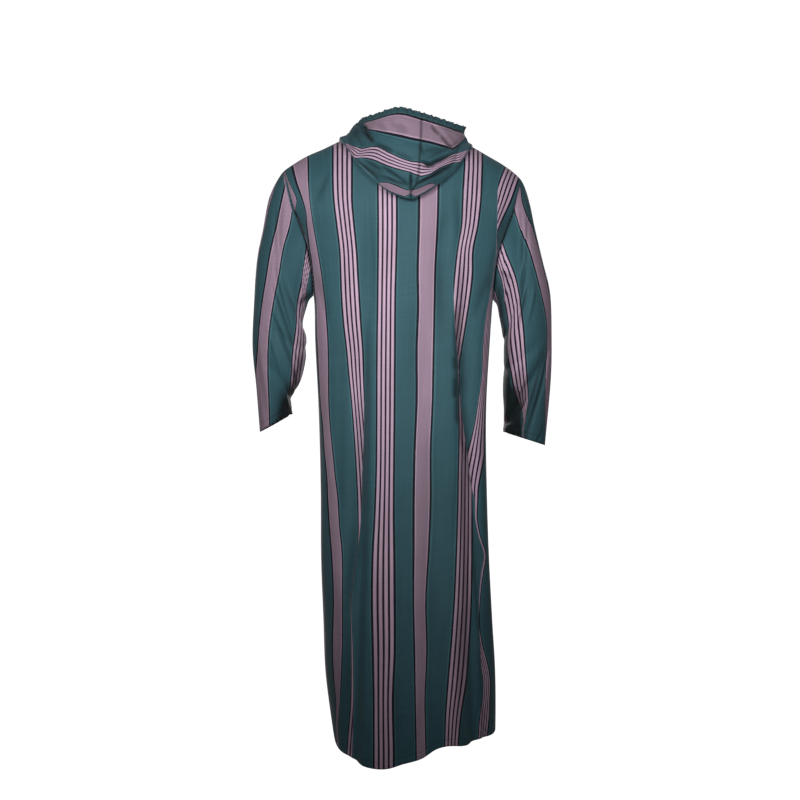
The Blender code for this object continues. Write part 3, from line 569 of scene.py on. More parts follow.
# Creases of the hood, in pixels across and down the view
HOOD_CREASES = table(
    CREASE_LINE_COLUMNS,
    (361, 120, 367, 131, -0.0034, 1.4, 3.2),
    (363, 131, 373, 143, -0.0040, 2.6, 1.8),
    (372, 142, 394, 152, -0.0032, 2.2, 1.6),
    (357, 127, 363, 146, 0.0018, 3.0, 2.6),
    (348, 136, 354, 150, -0.0016, 2.4, 2.0),
    (432, 124, 442, 134, -0.0030, 1.6, 2.8),
    (441, 133, 455, 149, -0.0032, 1.4, 2.8),
    (442, 130, 463, 138, 0.0016, 2.6, 2.0),
    (397, 120, 409, 133, -0.0014, 3.2, 3.6),
    (376, 122, 388, 130, -0.0012, 2.6, 3.0),
    (420, 141, 423, 152, -0.0022, 1.8, 2.2),
    (423, 151, 444, 147, -0.0018, 1.8, 2.4),
    (402, 146, 420, 150, 0.0014, 3.4, 3.0),
    (420, 160, 436, 166, -0.0038, 1.5, 2.2),
    (422, 168, 457, 152, -0.0040, 1.8, 2.4),
    (352, 158, 380, 181, -0.0030, 1.8, 2.2),
    (362, 160, 384, 172, -0.0022, 2.0, 2.6),
    (380, 166, 409, 186, -0.0038, 2.2, 2.0),
    (386, 178, 409, 187, -0.0026, 1.6, 1.8),
    (384, 172, 404, 184, 0.0018, 2.6, 2.4),
    (456, 165, 430, 176, -0.0026, 2.0, 2.4),
    (446, 172, 412, 187, -0.0038, 1.8, 2.2),
    (440, 168, 416, 181, 0.0018, 2.6, 2.4),
    (411, 170, 410, 199, -0.0044, 1.2, 1.2),
    (421, 175, 412, 184, -0.0030, 1.4, 1.4),
    (393, 150, 415, 161, -0.0020, 2.0, 2.0),
)

# Painted shade where the hood's folds let in less light: places as for its creases, and how dark the painted
# shade is
HOOD_SHADE = table(
    CREASE_LINE_COLUMNS,
    (349, 138, 366, 128, 0.45, 6.0, 6.0),
    (362, 124, 372, 134, 0.45, 2.0, 4.0),
    (390, 119, 404, 134, 0.30, 1.6, 4.5),
    (443, 124, 456, 146, 0.35, 2.0, 4.0),
    (419, 143, 425, 158, 0.50, 1.6, 2.0),
    (424, 160, 462, 141, 0.60, 2.5, 2.0),
    (362, 164, 404, 188, 0.50, 1.8, 2.4),
    (454, 166, 414, 186, 0.55, 1.8, 2.4),
    (411, 170, 410, 200, 0.55, 1.4, 1.4),
)

# Where the stripes of the hood lie in the view: the lower edge of the wide stripe under the
# rim, the edges of the group, and the edges of the second wide stripe, in pixels down by the
# pixels across. 118 is above the rim and 215 below the hood.
HOOD_STRIPES = table(
    ("across", "w_b", "g_a", "g_b", "w2_a", "w2_b"),
    (335, 118.0, 142.0, 160.0, 215.0, 215.0), (350, 118.0, 144.0, 160.0, 215.0, 215.0),
    (356, 118.0, 146.2, 158.5, 215.0, 215.0), (361, 120.5, 147.6, 158.0, 215.0, 215.0),
    (364, 126.0, 147.6, 158.0, 215.0, 215.0), (367, 129.5, 147.0, 158.5, 215.0, 215.0),
    (372, 130.6, 145.6, 159.6, 204.0, 215.0), (377, 131.8, 145.6, 161.5, 185.0, 215.0),
    (380, 132.6, 146.6, 163.0, 182.2, 208.0), (388, 134.6, 151.2, 166.2, 181.6, 204.0),
    (396, 136.6, 155.0, 168.8, 184.6, 202.0), (400, 137.4, 157.0, 169.8, 186.4, 200.0),
    (404, 138.3, 158.6, 170.8, 188.2, 197.0), (410, 139.7, 160.4, 172.4, 190.2, 194.0),
    (414, 140.5, 161.0, 174.0, 189.6, 195.5), (418, 141.1, 161.0, 175.6, 187.8, 199.5),
    (421, 141.6, 161.2, 176.6, 186.6, 202.0), (430, 143.4, 164.6, 173.8, 183.2, 204.0),
    (434, 144.4, 163.6, 171.0, 183.4, 208.0), (438, 145.5, 161.6, 168.6, 188.0, 215.0),
    (446, 148.0, 157.4, 165.2, 204.0, 215.0), (453, 149.8, 153.4, 163.0, 215.0, 215.0),
    (458, 146.4, 152.2, 162.6, 215.0, 215.0), (463, 141.0, 151.0, 162.6, 215.0, 215.0),
    (466, 137.5, 150.4, 162.4, 215.0, 215.0), (475, 133.0, 149.2, 162.0, 215.0, 215.0),
)
# The same on the ribs that run to the front, in metres down from the edging, and the way
# round the neck over which the one order turns into the other
HOOD_FRONT = (0.040, 0.090, 0.141, 0.240, 0.288)
HOOD_TURN = (0.50, 0.62)

# Slow unevenness of hanging cloth: its height, and how long it is across and along. It is
# worked out at every third point, and starts elsewhere for each piece.
SOFTNESS = {"height": 0.0012, "across": 0.055, "along": 0.26}
SOFTNESS_STEP = 3
SOFTNESS_START = {
    "back": 1.7, "front": 5.3, "sleeve_left": 2.9, "sleeve_right": 7.1, "hood_left": 4.4, "hood_right": 9.2,
}
# Creases by piece: how strongly they show, how far from a seam they start, how deep a trough is where its
# painted shade is darkest, and how dark the painted shade along its seams is
CREASING = {
    "back": {"strength": 1.7, "start": 0.030, "darkest": 0.021, "seam": 0.5},
    "front": {"strength": 1.3, "start": 0.030, "darkest": 0.021, "seam": 0.5},
    "sleeve": {"strength": 1.5, "start": 0.030, "darkest": 0.010, "seam": 0.5},
    "hood": {"strength": 1.9, "start": 0.012, "darkest": 0.007, "seam": 0.8},
}
# How bluntly a crease ends: less is blunter
CREASE_ENDS = 0.9
# How far the cloth sinks at a seam, how far that reaches and how far the painted shade along the seam
# reaches
SEAM_SINK = 0.0011
SEAM_REACH = 0.0055
SEAM_SHADE = 0.0028
# The deepest painted shade, and the share of the cloth's colour that is left there
DEEPEST_SHADE = 1.25
DEEPEST_COLOUR = 0.08
# The least way between two columns of cloth, and the half width, in pixels, of a fold that
# hides part of a stripe
LEAST_STEP = 0.00012
FOLD_HALF_WIDTH = 0.12
# The least rise in pixels from one column to the next, so that edges can be found by it
LEAST_RISE = {"back": 1e-5, "sleeve": 1e-6, "hood": 1e-4, "edges": 1e-3}
# Cloth that turns from the camera so far that it shows less than this share of its width
# isn't used to place stripes. Where that starts is evened out over so many rows.
GRAZING = 0.22
EVENED_ROWS = 17
# How far round the arm a sleeve's seen stripes bend the hidden ones
SLEEVE_TURN = 0.045
# The hood: the share of its rows that can be seen, how much finer its grid is made, where
# behind the neck its creases start, how far apart the edges of stripes lie where they are out
# of sight, and how it sinks onto the shoulders, round it and down it
HOOD_SEEN = 0.65
HOOD_FINER = 2
HOOD_BEHIND = 0.02
HOOD_UNSEEN_STEP = 0.0004
HOOD_SINK = {"left": 0.011, "right": 0.015, "way": (0.49, 0.12), "from": 0.38, "to": 0.25}
# A face of the hood that spans more cloth than this lies in the tuck, and takes its one place
TUCK_JUMP = 0.030
TUCK_PLACE = 0.174
# Where the front's middle lies across the cloth, and how far from the hem the cloth of the
# pieces without one is mapped
FRONT_START = 0.024
PAST_HEM = 1.0
# The trunk's surface that the hood lies on is made from every third point
TRUNK_STEP = 3
# A grid with no more rows than this is judged by all of them when its way out is found
FEW_ROWS = 10

# The edging's thickness, and the name of the striped cloth
EDGING_THICKNESS = 0.0018
STRIPED_SHIRTING = "striped cotton shirting"

# The cloth's sheen and grain, and the painted light and shade of the edging's small puckers. Grains are
# cycles a metre across and along the cloth, and the shades beside them how dark and how light they make its
# colour.
SPECULAR = 0.28
SHEEN_ROUGHNESS = 0.42
GRAIN_DETAIL = 3.0
GRAIN_RANGE = (0.3, 0.7)
WARP_GRAIN = ((620.0, 7.0, 1.0), (0.90, 1.10))
WEFT_GRAIN = ((9.0, 620.0, 1.0), (0.93, 1.07))
# Painted light and shade: mottling that lightens and darkens the edging's colour where its small puckers
# would be lit and shaded
PAINTED_GATHER_SHADING = ((330.0, 150.0, 1.0), (0.62, 1.36))
# The dye's unevenness goes by the place in the room, so it runs on from piece to piece
DYE_SCALE = 7.0
DYE_SHADES = (0.93, 1.07)
# Strength and height of the relief that the light sees: weave, loose crumples and stitches
WEAVE_BUMP = (0.30, 0.0004)
CRUMPLE_BUMP = (0.28, 0.0016)
CRUMPLE_GRAIN = (160.0, 36.0, 1.0)
CRUMPLE_DETAIL = 2.0
STITCH_BUMP = (0.8, 0.0012)
STITCH_REACH = 0.0022
PAPER_ROUGHNESS = 0.9

# Soft lights: name, place, what it faces, diameter and share of the studio's light power
SOFTBOXES = (
    ("key softbox left", (0.55, 1.55, 0.05), (0.02, 0.1, -0.32), 0.5, 1.3),
    ("key softbox right", (-0.65, 1.55, 0.12), (-0.02, 0.1, -0.32), 0.5, 0.8),
    ("front softbox left", (0.70, -1.55, 0.00), (0.02, -0.1, -0.45), 0.6, 1.1),
    ("front softbox right", (-0.60, -1.55, 0.00), (-0.02, -0.1, -0.45), 0.6, 1.1),
)
SPREAD = 72.0
SWEEP = {
    "front": 4.5, "back": 2.2, "radius": 1.2, "height": 6.5, "half_width": 6.0, "steps": 16,
}


def curve(places, values, at):
    """The smooth curve through the values at these places, read at other places."""
    places, values, at = (np.asarray(x, float) for x in (places, values, at))
    slopes = np.gradient(values, places)
    i = np.clip(np.searchsorted(places, at, side="right") - 1, 0, len(places) - 2)
    span = places[i + 1] - places[i]
    t = np.clip((at - places[i]) / span, 0.0, 1.0)
    start = (1 + 2 * t) * (1 - t) ** 2 * values[i] + t * (1 - t) ** 2 * span * slopes[i]
    end = t * t * (3 - 2 * t) * values[i + 1] - t * t * (1 - t) * span * slopes[i + 1]
    return start + end


def ease(t):
    """0 to 1, starting and ending gently."""
    t = np.clip(t, 0.0, 1.0)
    return t * t * (3 - 2 * t)


def unit(v):
    return v / np.maximum(np.linalg.norm(v, axis=-1, keepdims=True), 1e-12)


def oblong(share):
    """How far out a rounded oblong still is, where it has gone this share of its way across."""
    return (1 - np.clip(np.abs(share), 0.0, 1.0) ** SQUARENESS) ** (1 / SQUARENESS)


def shoulder_height(x):
    return curve(SHOULDER_LINE["across"], SHOULDER_LINE["height"], x)


def trunk_reach(x, z):
    left = curve(TRUNK["drop"], TRUNK["left"], -z)
    right = curve(TRUNK["drop"], TRUNK["right"], -z)
    return np.where(x > 0, left, right)


def trunk_depth(face, x, z):
    """How far behind or in front of the shoulder line the smooth trunk lies."""
    depth = curve(TRUNK["drop"], TRUNK[face], -z) * oblong(x / trunk_reach(x, z))
    fallen = np.clip((shoulder_height(x) - z) / SHOULDER_ROUNDING[face], 0.0, 1.0)
    return depth * np.sqrt(1 - (1 - fallen) ** 2)


def fold_relief(face, x, z):
    """How far the long folds lift or sink the cloth."""
    relief = np.zeros_like(x)
    for fold in FOLDS[face]:
        way = np.clip((fold["top"] - z) / (fold["top"] - fold["foot"]), 0.0, 1.0)
        line = curve((0.0, 0.5, 1.0), (fold["start"], fold["middle"], fold["end"]), way)
        short = fold["foot"] > SHORT_FOLD_FOOT
        strength = np.sin(np.pi * way) if short else ease((fold["top"] - z) / FOLD_RISE)
        aside = x - line
        width = np.where(aside > 0, fold["left"], fold["right"])
        relief += fold["depth"] * strength * np.exp(-((aside / width) ** 2))
    return relief


def column_places():
    """The panel's columns from the wearer's right (-1) to left (1), with one at each neck corner."""
    shoulder = np.linspace(1.0, NECK_SHARE, SHOULDER_COLUMNS + 1)[:-1]
    neck = NECK_SHARE * np.sin(np.linspace(-0.5, 0.5, NECK_COLUMNS + 1) * math.pi)
    return np.concatenate([-shoulder, neck, shoulder[::-1]])


def top_edge(face, places):
    """(x, z) of the shoulder seams and the neck seam."""
    tip = np.where(places > 0, SHOULDER_TIP["left"][0], SHOULDER_TIP["right"][0])
    x = places * tip
    z = shoulder_height(x)
    share = np.abs(places) / NECK_SHARE
    inside = share < 1 - 1e-9
    if face == "back":
        behind = NECK_BACK_DEPTH * np.sqrt(np.clip(1 - share**2, 0, 1))
        full = curve(TRUNK["drop"], TRUNK[face], 0.0) * oblong(x / trunk_reach(x, 0.0 * x))
        sunk = SHOULDER_ROUNDING[face] * (1 - np.sqrt(np.clip(1 - (behind / full) ** 2, 0, 1)))
    else:
        sunk = NECK_V_DROP * (1 - share)
    return x, np.where(inside, z - sunk, z)


def panel(face):
    """The outside of the back or the front, row by row from the shoulders to the hem."""
    places = column_places()
    top_x, top_z = top_edge(face, places)
    armpit = ARMPIT["right"] + (ARMPIT["left"] - ARMPIT["right"]) * (places + 1) / 2
    tip_x = np.where(places > 0, SHOULDER_TIP["left"][0], SHOULDER_TIP["right"][0])
    bow = np.sin(np.abs(places) * math.pi / 2) ** (2 / SQUARENESS) * np.sign(places)
    hem = curve(HEM[face]["place"], HEM[face]["height"], places)
    side_x = trunk_reach(places, armpit)
    rows = []
    for row in range(ARMHOLE_ROWS + 1):
        lift = (1 + math.cos(math.pi * row / ARMHOLE_ROWS)) / 2
        share = curve(ARMHOLE_REACH["way_down"], ARMHOLE_REACH["share"], 1 - lift)
        reach = side_x + (tip_x - side_x) * share
        rows.append((reach * (places * lift + bow * (1 - lift)), armpit + (top_z - armpit) * lift))
    rows[0] = (top_x, top_z)
    for row in range(1, SKIRT_ROWS + 1):
        z = armpit + (hem - armpit) * row / SKIRT_ROWS
        rows.append((trunk_reach(places, z) * bow, z))
    grid = []
    for number, (x, z) in enumerate(rows):
        y = trunk_depth(face, x, z)
        relief = fold_relief(face, x, z) * (1 - np.abs(places) ** FOLD_SIDE_FADE)
        relief = relief * ease(number / (FOLD_TOP_FADE * ARMHOLE_ROWS))
        wide, deep = TRUNK_HALVES
        aside = unit(np.stack([x / wide**2, np.maximum(y, 1e-3) / deep**2], axis=-1))
        x, y = x + relief * aside[:, 0], (y + relief * aside[:, 1]) * FACING[face]
        grid.append(np.stack([x, y, z], axis=-1))
    return np.array(grid)


def sleeve(side, back, front):
    """The outside of a sleeve, ring by ring from the armhole, which the two panels give."""
    edge = -1 if side == "left" else 0
    behind = back[: ARMHOLE_ROWS + 1, edge]
    before = front[1:ARMHOLE_ROWS, edge][::-1]
    armhole = np.concatenate([behind, before])
    turn = np.arange(len(armhole)) * 2 * math.pi / len(armhole)
    table = SLEEVE[side]
    rings = []
    for row in range(SLEEVE_ROWS + 1):
        way = row / SLEEVE_ROWS
        at = {name: float(curve(table["way"], table[name], way)) for name in SLEEVE_COLUMNS[1:]}
        outer = np.array([at["outer_x"] * SIDE[side], 0.0, at["outer_z"]])
        inner = np.array([at["inner_x"] * SIDE[side], 0.0, at["inner_z"]])
        middle = (outer + inner) / 2 - np.array([0.0, at["forward"], 0.0])
        across = (outer - inner) / 2
        deep = np.array([0.0, at["half_depth"], 0.0])
        ring = middle + np.cos(turn)[:, None] * across + np.sin(turn)[:, None] * deep
        if row == 0:
            first = ring
        ring = ring + (armhole - first) * (1 - ease(way / ARMHOLE_EASE))
        outwards = unit(ring - ring.mean(axis=0))
        sunk = crease_relief(side, way, turn) * ease(way / CREASES_IN) * ease((1 - way) / CREASES_OUT)
        rings.append(ring + outwards * np.asarray(sunk)[..., None])
    rings[0] = armhole
    return np.array(rings)


def crease_relief(side, way, turn):
    """How far the slanting creases sink the sleeve."""
    relief = 0.0 * np.asarray(turn, float)
    for crease in CREASES[side]:
        apart = np.asarray(turn, float) - math.radians(crease["middle"])
        facing = np.clip(np.cos(apart), 0.0, 1.0)
        line = crease["way"] + crease["slant"] * np.sin(apart) / 2
        relief = relief + crease["depth"] * facing * np.exp(-(((way - line) / crease["width"]) ** 2))
    return relief


def neck_seam(side, back, front):
    """The neck seam from the middle of the back round one side to the foot of the V."""
    middle = SHOULDER_COLUMNS + NECK_COLUMNS // 2
    corner = SHOULDER_COLUMNS + (NECK_COLUMNS if side == "left" else 0)
    step = 1 if side == "left" else -1
    behind = back[0, middle : corner + step : step] if step > 0 else back[0, corner : middle + 1][::-1]
    before = front[0, middle:corner][::-1] if step > 0 else front[0, corner + 1 : middle + 1]
    return np.concatenate([behind, before])


def trunk_surface(back, front):
    """The outside of the trunk as one surface that can be asked for its nearest point."""
    points, faces = [], []
    for grid, turned in ((back, False), (front, True)):
        rows, columns = grid.shape[:2]
        first = len(points)
        points += [Vector(point) for point in grid.reshape(-1, 3)]
        for row in range(rows - 1):
            for column in range(columns - 1):
                a = first + row * columns + column
                face = (a, a + 1, a + columns + 1, a + columns)
                faces.append(face[::-1] if turned else face)
    return BVHTree.FromPolygons(points, faces)


def lifted(trunk, point, gap):
    """The point, moved out until it clears the trunk by this gap, and the way out there."""
    place, out, _, _ = trunk.find_nearest(Vector(point))
    height = (Vector(point) - place).dot(out)
    return np.array(Vector(point) + out * max(0.0, gap - height)), np.array(out)


def hood_rib(side, way, seam, trunk):
    """One rib of the hood: its points, how far off the trunk each stays, and its marks."""
    table = RIBS[side]
    at = {name: float(curve(table["way"], table[name], way)) for name in RIB_COLUMNS[1:]}
    rim, brow, high, low, foot = (np.array([at[p + "_" + axis] for axis in "xyz"]) for p in RIB_POINTS)
    roll = at["roll"]
    foot, out = lifted(trunk, foot, HOOD_CLEARANCE + roll)
    away = unit(seam - np.array([0.0, NECK_MIDDLE_Y, seam[2]]))
    up = np.array([0.0, 0.0, 1.0])
    stand = seam + up * NECK_STAND + away * NECK_STAND_OUT
    bend = stand + away * NECK_BEND
    back_up = unit((bend - foot) - out * np.dot(bend - foot, out))
    outer = foot + (back_up + out) * roll
    inner = foot + (back_up - out) * roll
    marks = ["rim", "brow", "high", "low", "outer", "foot", "inner"]
    points = [rim, brow, high, low, outer, foot, inner]
    gaps = [HOOD_CLEARANCE + roll * share for share in (2, 2, 2, 2, 2, 1, 0)]
    for share in BETWEEN_SHARES:
        marks.append("between")
        points.append(lifted(trunk, inner + (bend - inner) * share, HOOD_CLEARANCE)[0])
        gaps.append(HOOD_CLEARANCE)
    marks += ["bend", "stand", "seam"]
    points += [bend, stand, seam]
    gaps += [0.0, 0.0, 0.0]
    return np.array(points), np.array(gaps), marks


def hood_line(side, way, seam, trunk, start, steps):
    """Points down a smooth rib from this far below its rim, so many up to each mark."""
    points, gaps, marks = hood_rib(side, way, seam, trunk)
    chords = np.concatenate([[0.0], np.cumsum(np.linalg.norm(np.diff(points, axis=0), axis=1))])
    places = [start]
    for mark, count in steps.items():
        places += list(np.linspace(places[-1], chords[marks.index(mark)], count + 1)[1:])
    line = np.stack([curve(chords, points[:, axis], places) for axis in range(3)], axis=-1)
    for row, gap in enumerate(np.interp(places, chords, gaps)):
        if gap > 0:
            line[row] = lifted(trunk, line[row], gap)[0]
        if way > FRONT_WAY and places[row] < chords[-1]:
            line[row, 0] = SIDE[side] * max(SIDE[side] * line[row, 0], FRONT_PARTING)
    return line


def hood_half(side, seam, trunk):
    """The outside of half the hood, from below its edging to the neck seam."""
    ways = np.linspace(0, 1, len(seam))
    lines = [hood_line(side, way, point, trunk, EDGING_WIDTH, RIB_STEPS) for way, point in zip(ways, seam)]
    grid = np.array(lines).transpose(1, 0, 2)
    grid[-1] = seam
    return grid


def edging(seams, halves, trunk):
    """The gathered strip round the face opening, from one side of the V to the other."""
    columns = []
    for side in ("right", "left"):
        ways = np.linspace(0, 1, len(seams[side]))
        starts = [share * EDGING_WIDTH for share in EDGING_ROWS]
        tops = []
        for way, point in zip(ways, seams[side]):
            tops.append([hood_line(side, way, point, trunk, start, {})[0] for start in starts])
        ribs = np.concatenate([np.array(tops), halves[side][0][:, None]], axis=1)
        columns += list(ribs[::-1]) if side == "right" else list(ribs[1:])
    coarse = np.array(columns)
    stations = np.arange((len(coarse) - 1) * EDGING_STEPS + 1) / EDGING_STEPS
    grid = between(coarse, stations).transpose(1, 0, 2)
    return grid + normals(grid) * (edging_swell(len(stations)) * GATHER_DEPTH)[..., None]


def edging_swell(columns):
    """The uneven gathers of the edging, from -1 to 1 at its rim and none at its seam."""
    turn = (np.arange(columns) + 0.5) * 2 * math.pi / STEPS_PER_GATHER
    wave = sum(high * np.sin(turns * turn + start) for high, turns, start in GATHER_WAVES)
    return np.array(EDGING_SWELL)[:, None] * wave[None, :] / GATHER_HEIGHT


def between(rows, stations):
    """Rows read at places between them, in straight lines."""
    cells = np.minimum(stations.astype(int), len(rows) - 2)
    share = (stations - cells).reshape((-1,) + (1,) * (rows.ndim - 1))
    return rows[cells] * (1 - share) + rows[cells + 1] * share


def normals(grid, ring=False):
    """The way out at each point of a grid, whose rows run down and columns across."""
    if ring:
        across = np.roll(grid, -1, axis=1) - np.roll(grid, 1, axis=1)
    else:
        across = np.gradient(grid, axis=1)
    return unit(np.cross(across, np.gradient(grid, axis=0)))


def view_pixel(points):
    """Where points fall in the camera's view, in pixels across and down."""
    nearer = VIEW_DISTANCE / (VIEW_DISTANCE - points[..., 1])
    across = VIEW_PIXELS / 2 - (points[..., 0] - VIEW_X) / METRES_PER_PIXEL * nearer
    down = VIEW_PIXELS / 2 - (points[..., 2] - VIEW_Z) / METRES_PER_PIXEL * nearer
    return across, down


def lengths(points):
    """The way from the first point of each row to each of its points."""
    steps = np.linalg.norm(np.diff(points, axis=1), axis=-1)
    return np.concatenate([np.zeros((len(points), 1)), np.cumsum(steps, axis=1)], axis=1)


def lengths_down(grid):
    """The way from the top of each column to each of its points."""
    return lengths(grid.transpose(1, 0, 2)).T


def above_hem(grid):
    """How far up the cloth each point lies from the hem, along its own column."""
    return lengths_down(grid[::-1])[::-1]


def read_along(points, along, ways):
    """The points of one row, read at these ways along it."""
    return np.stack([np.interp(ways, along, points[:, axis]) for axis in range(3)], axis=-1)


def crossings(px, py, along, edge, rows):
    """Where each row of points crosses the edge of a stripe: the way along it, pixel and row."""
    gap = np.maximum.accumulate(curve(rows, edge, py) - px, axis=1)
    ways = np.array([np.interp(0.0, g, w) for g, w in zip(gap, along)])
    spots = np.array([np.interp(way, w, x) for way, w, x in zip(ways, along, px)])
    levels = np.array([np.interp(way, w, y) for way, w, y in zip(ways, along, py)])
    return ways, spots, levels


def evened(columns):
    """The same columns with their jumps from row to row evened out."""
    half = EVENED_ROWS // 2
    padded = np.pad(columns.astype(float), half, mode="edge")
    return np.rint(np.convolve(padded, np.ones(2 * half + 1) / (2 * half + 1), "valid")).astype(int)


def facing(points, along):
    """The first and the last column of each row that face the camera well enough to place
    stripes by, and the pixels, held beyond them."""
    px, py = view_pixel(points)
    sense = np.sign(px[:, -1:] - px[:, :1])
    open_steps = np.diff(px, axis=1) * sense > GRAZING * np.diff(along, axis=1) / METRES_PER_PIXEL
    first, last = np.argmax(open_steps, axis=1), np.argmax(open_steps[:, ::-1], axis=1)
    first, last = evened(first), px.shape[1] - 1 - evened(last)
    place = np.clip(np.arange(px.shape[1])[None, :], first[:, None], last[:, None])
    return first, last, np.take_along_axis(px, place, 1), np.take_along_axis(py, place, 1)


def stripe_places(stripes):
    """Where the edges of the stripes lie across the flat cloth, from the group before the
    first wide stripe to the last group."""
    wide, plain, group = stripes
    repeat = wide + 3 * plain + 2 * group
    first, second = wide + plain, wide + 2 * plain + group
    starts = {"g0": second - repeat, "w1": 0.0, "g1": first, "g2": second}
    starts.update({"w2": repeat, "g3": repeat + first, "g4": repeat + second})
    return {name: (start, start + (wide if name[0] == "w" else group)) for name, start in starts.items()}


def back_along_threads(grid, shade, stripes):
    """The back and its painted shade with columns along the stripes' edges, and the cloth's place across."""
    places = stripe_places(stripes)
    along = lengths(grid)
    begin, end, px, py = facing(grid, along)
    total = along[:, -1]
    falling = np.maximum.accumulate(LEAST_RISE["back"] * np.arange(grid.shape[1]) - px, axis=1)
    knots, cloth = [], []
    for name in sorted(places, key=lambda name: -places[name][0]):
        table = BACK_STRIPES[name]
        low, high = places[name]
        for edge, flat, inwards in (("b", high, low - high), ("a", low, high - low)):
            _, spots, levels = crossings(px, py, along, table[edge], table["row"])
            inner = flat + inwards * curve(table["row"], table["hidden_" + edge], levels)
            outer = np.full(len(grid), flat)
            knots += [-spots - FOLD_HALF_WIDTH, -spots + FOLD_HALF_WIDTH]
            cloth += [outer, inner] if edge == "b" else [inner, outer]
    knots = np.maximum.accumulate(np.array(knots).T, axis=1)
    cloth = np.array(cloth).T
    inner_counts = [1, COLUMNS_PER_STRIPE] * (knots.shape[1] // 2)
    stations = np.concatenate([i + np.arange(n) / n for i, n in enumerate(inner_counts[:-1])])
    stations = np.append(stations, len(inner_counts) - 1.0)
    before = np.arange(SIDE_COLUMNS) / SIDE_COLUMNS
    after = before + before[1]
    shaped, crosswise, shaded = [], [], []
    for row in range(len(grid)):
        seen = slice(begin[row], end[row] + 1)
        level, run = falling[row, seen], along[row, seen]
        ways = np.interp(between(knots[row], stations), level, run)
        place = between(cloth[row], stations)
        top, foot = np.interp(level[[0, -1]], knots[row], cloth[row])
        top = top if ways[0] <= run[0] else place[0] + ways[0] - run[0]
        foot = foot if ways[-1] >= run[-1] else place[-1] - (run[-1] - ways[-1])
        first, last = top + run[0], foot - (total[row] - run[-1])
        rest = total[row] - ways[-1]
        place = np.clip(place, foot, top)
        onset, close = first + (place[0] - first) * before, place[-1] + (last - place[-1]) * after
        place = np.concatenate([onset, place, close])
        ways = np.concatenate([ways[0] * before, ways, ways[-1] + rest * after])
        order = np.arange(len(ways)) * LEAST_STEP
        ways = np.maximum.accumulate(ways - order) + order
        ways = np.minimum(ways, total[row] - order[::-1])
        shaped.append(read_along(grid[row], along[row], ways))
        crosswise.append(place)
        shaded.append(np.interp(ways, along[row], shade[row]))
    return np.array(shaped), np.array(crosswise), np.array(shaded)


def front_across(grid):
    """The cloth's place across the front: level at the shoulders, round the body below."""
    round_body = lengths(grid[..., :2])
    middle = grid.shape[1] // 2
    round_body = round_body - round_body[:, middle : middle + 1]
    worn = ease(np.arange(len(grid)) / ARMHOLE_ROWS)[:, None]
    return -(grid[..., 0] * (1 - worn) + round_body * worn)


def sleeve_across(side, ring, stripes):
    """The cloth's place across a sleeve that starts and ends at the seam under the arm."""
    places = stripe_places(stripes)
    flat = [*places["w1"], *places["g1"]]
    table = SLEEVE_MARKS[side]
    behind = ring[:, ARMHOLE_ROWS:]
    along, before = lengths(behind), lengths(ring[:, : ARMHOLE_ROWS + 1])
    begin, end, px, py = facing(behind, along)
    turn = -1.0 if px[0, -1] > px[0, 0] else 1.0
    rows = []
    for row in range(len(ring)):
        seen = slice(begin[row], end[row] + 1)
        level, run = np.maximum.accumulate(-turn * px[row, seen]), along[row, seen]
        ways, spots = [], []
        for name in SLEEVE_MARK_COLUMNS[1:]:
            edge = -turn * curve(table["row"], table[name], py[row, seen])
            gap = np.maximum.accumulate(level - edge + np.arange(len(level)) * LEAST_RISE["sleeve"])
            ways.append(np.interp(0.0, gap, run))
            spots.append(np.interp(ways[-1], run, edge))
        spots = np.maximum.accumulate(np.array(spots) + np.arange(len(flat)) * LEAST_RISE["edges"])
        outer = np.interp(level, spots, flat)
        outer = np.where(level < spots[0], flat[0] + run - ways[0], outer)
        outer = np.where(level > spots[-1], flat[-1] + run - ways[-1], outer)
        hidden = outer[0] + along[row, : begin[row]] - run[0]
        under = outer[-1] + along[row, end[row] + 1 :] - run[-1]
        rows.append(np.concatenate([hidden, outer, under]))
    outer = np.array(rows)
    ahead = before[:, -1:] - before[:, :-1]
    down = np.linspace(-1.0, 1.0, len(outer))
    line = np.polyval(np.polyfit(down, outer[:, 0], 2), down)[:, None]
    shift = (outer[:, :1] - line) * np.exp(-((ahead / SLEEVE_TURN) ** 2))
    return np.concatenate([line - ahead + shift, outer], axis=1)


def hood_across(grid, stripes):
    """The cloth's place across the hood, row by row down from the edging. Just under the
    group the cloth is tucked, and the second wide stripe follows without the second group."""
    places = stripe_places(stripes)
    plain = stripes[1]
    flat = np.array([places["w1"][1], *places["g1"], *places["w2"]])
    px, py = view_pixel(grid)
    down = lengths_down(grid)
    seen = int(len(grid) * HOOD_SEEN)
    result = []
    for column in range(grid.shape[1]):
        way = column / (grid.shape[1] - 1)
        front = float(ease((way - HOOD_TURN[0]) / (HOOD_TURN[1] - HOOD_TURN[0])))
        line, x, y = down[:, column], px[:seen, column], py[:seen, column]
        marks = []
        for name, plainly in zip(HOOD_STRIPES.dtype.names[1:], HOOD_FRONT):
            edge = np.interp(x, HOOD_STRIPES["across"], HOOD_STRIPES[name])
            gap = np.maximum.accumulate(y - edge + np.arange(seen) * LEAST_RISE["hood"])
            spot = np.interp(0.0, gap, line[:seen])
            if gap[-1] < 0:
                spot = line[seen - 1] + HOOD_UNSEEN_STEP * len(marks)
            marks.append(spot * (1 - front) + plainly * front)
        marks = np.maximum.accumulate(np.array(marks) + np.arange(len(marks)) * LEAST_STEP)
        tuck = marks[2] + min(plain / 2, (marks[3] - marks[2]) / 2)
        knot = [0.0, *marks[:3], tuck, tuck + LEAST_STEP, *marks[3:]]
        place = [0.0, *flat[:3], flat[2] + plain / 2, flat[3] - plain / 2, *flat[3:]]
        beyond = np.maximum(line - knot[-1], 0.0)
        result.append(np.interp(line, knot, place) + beyond)
    return np.array(result).T
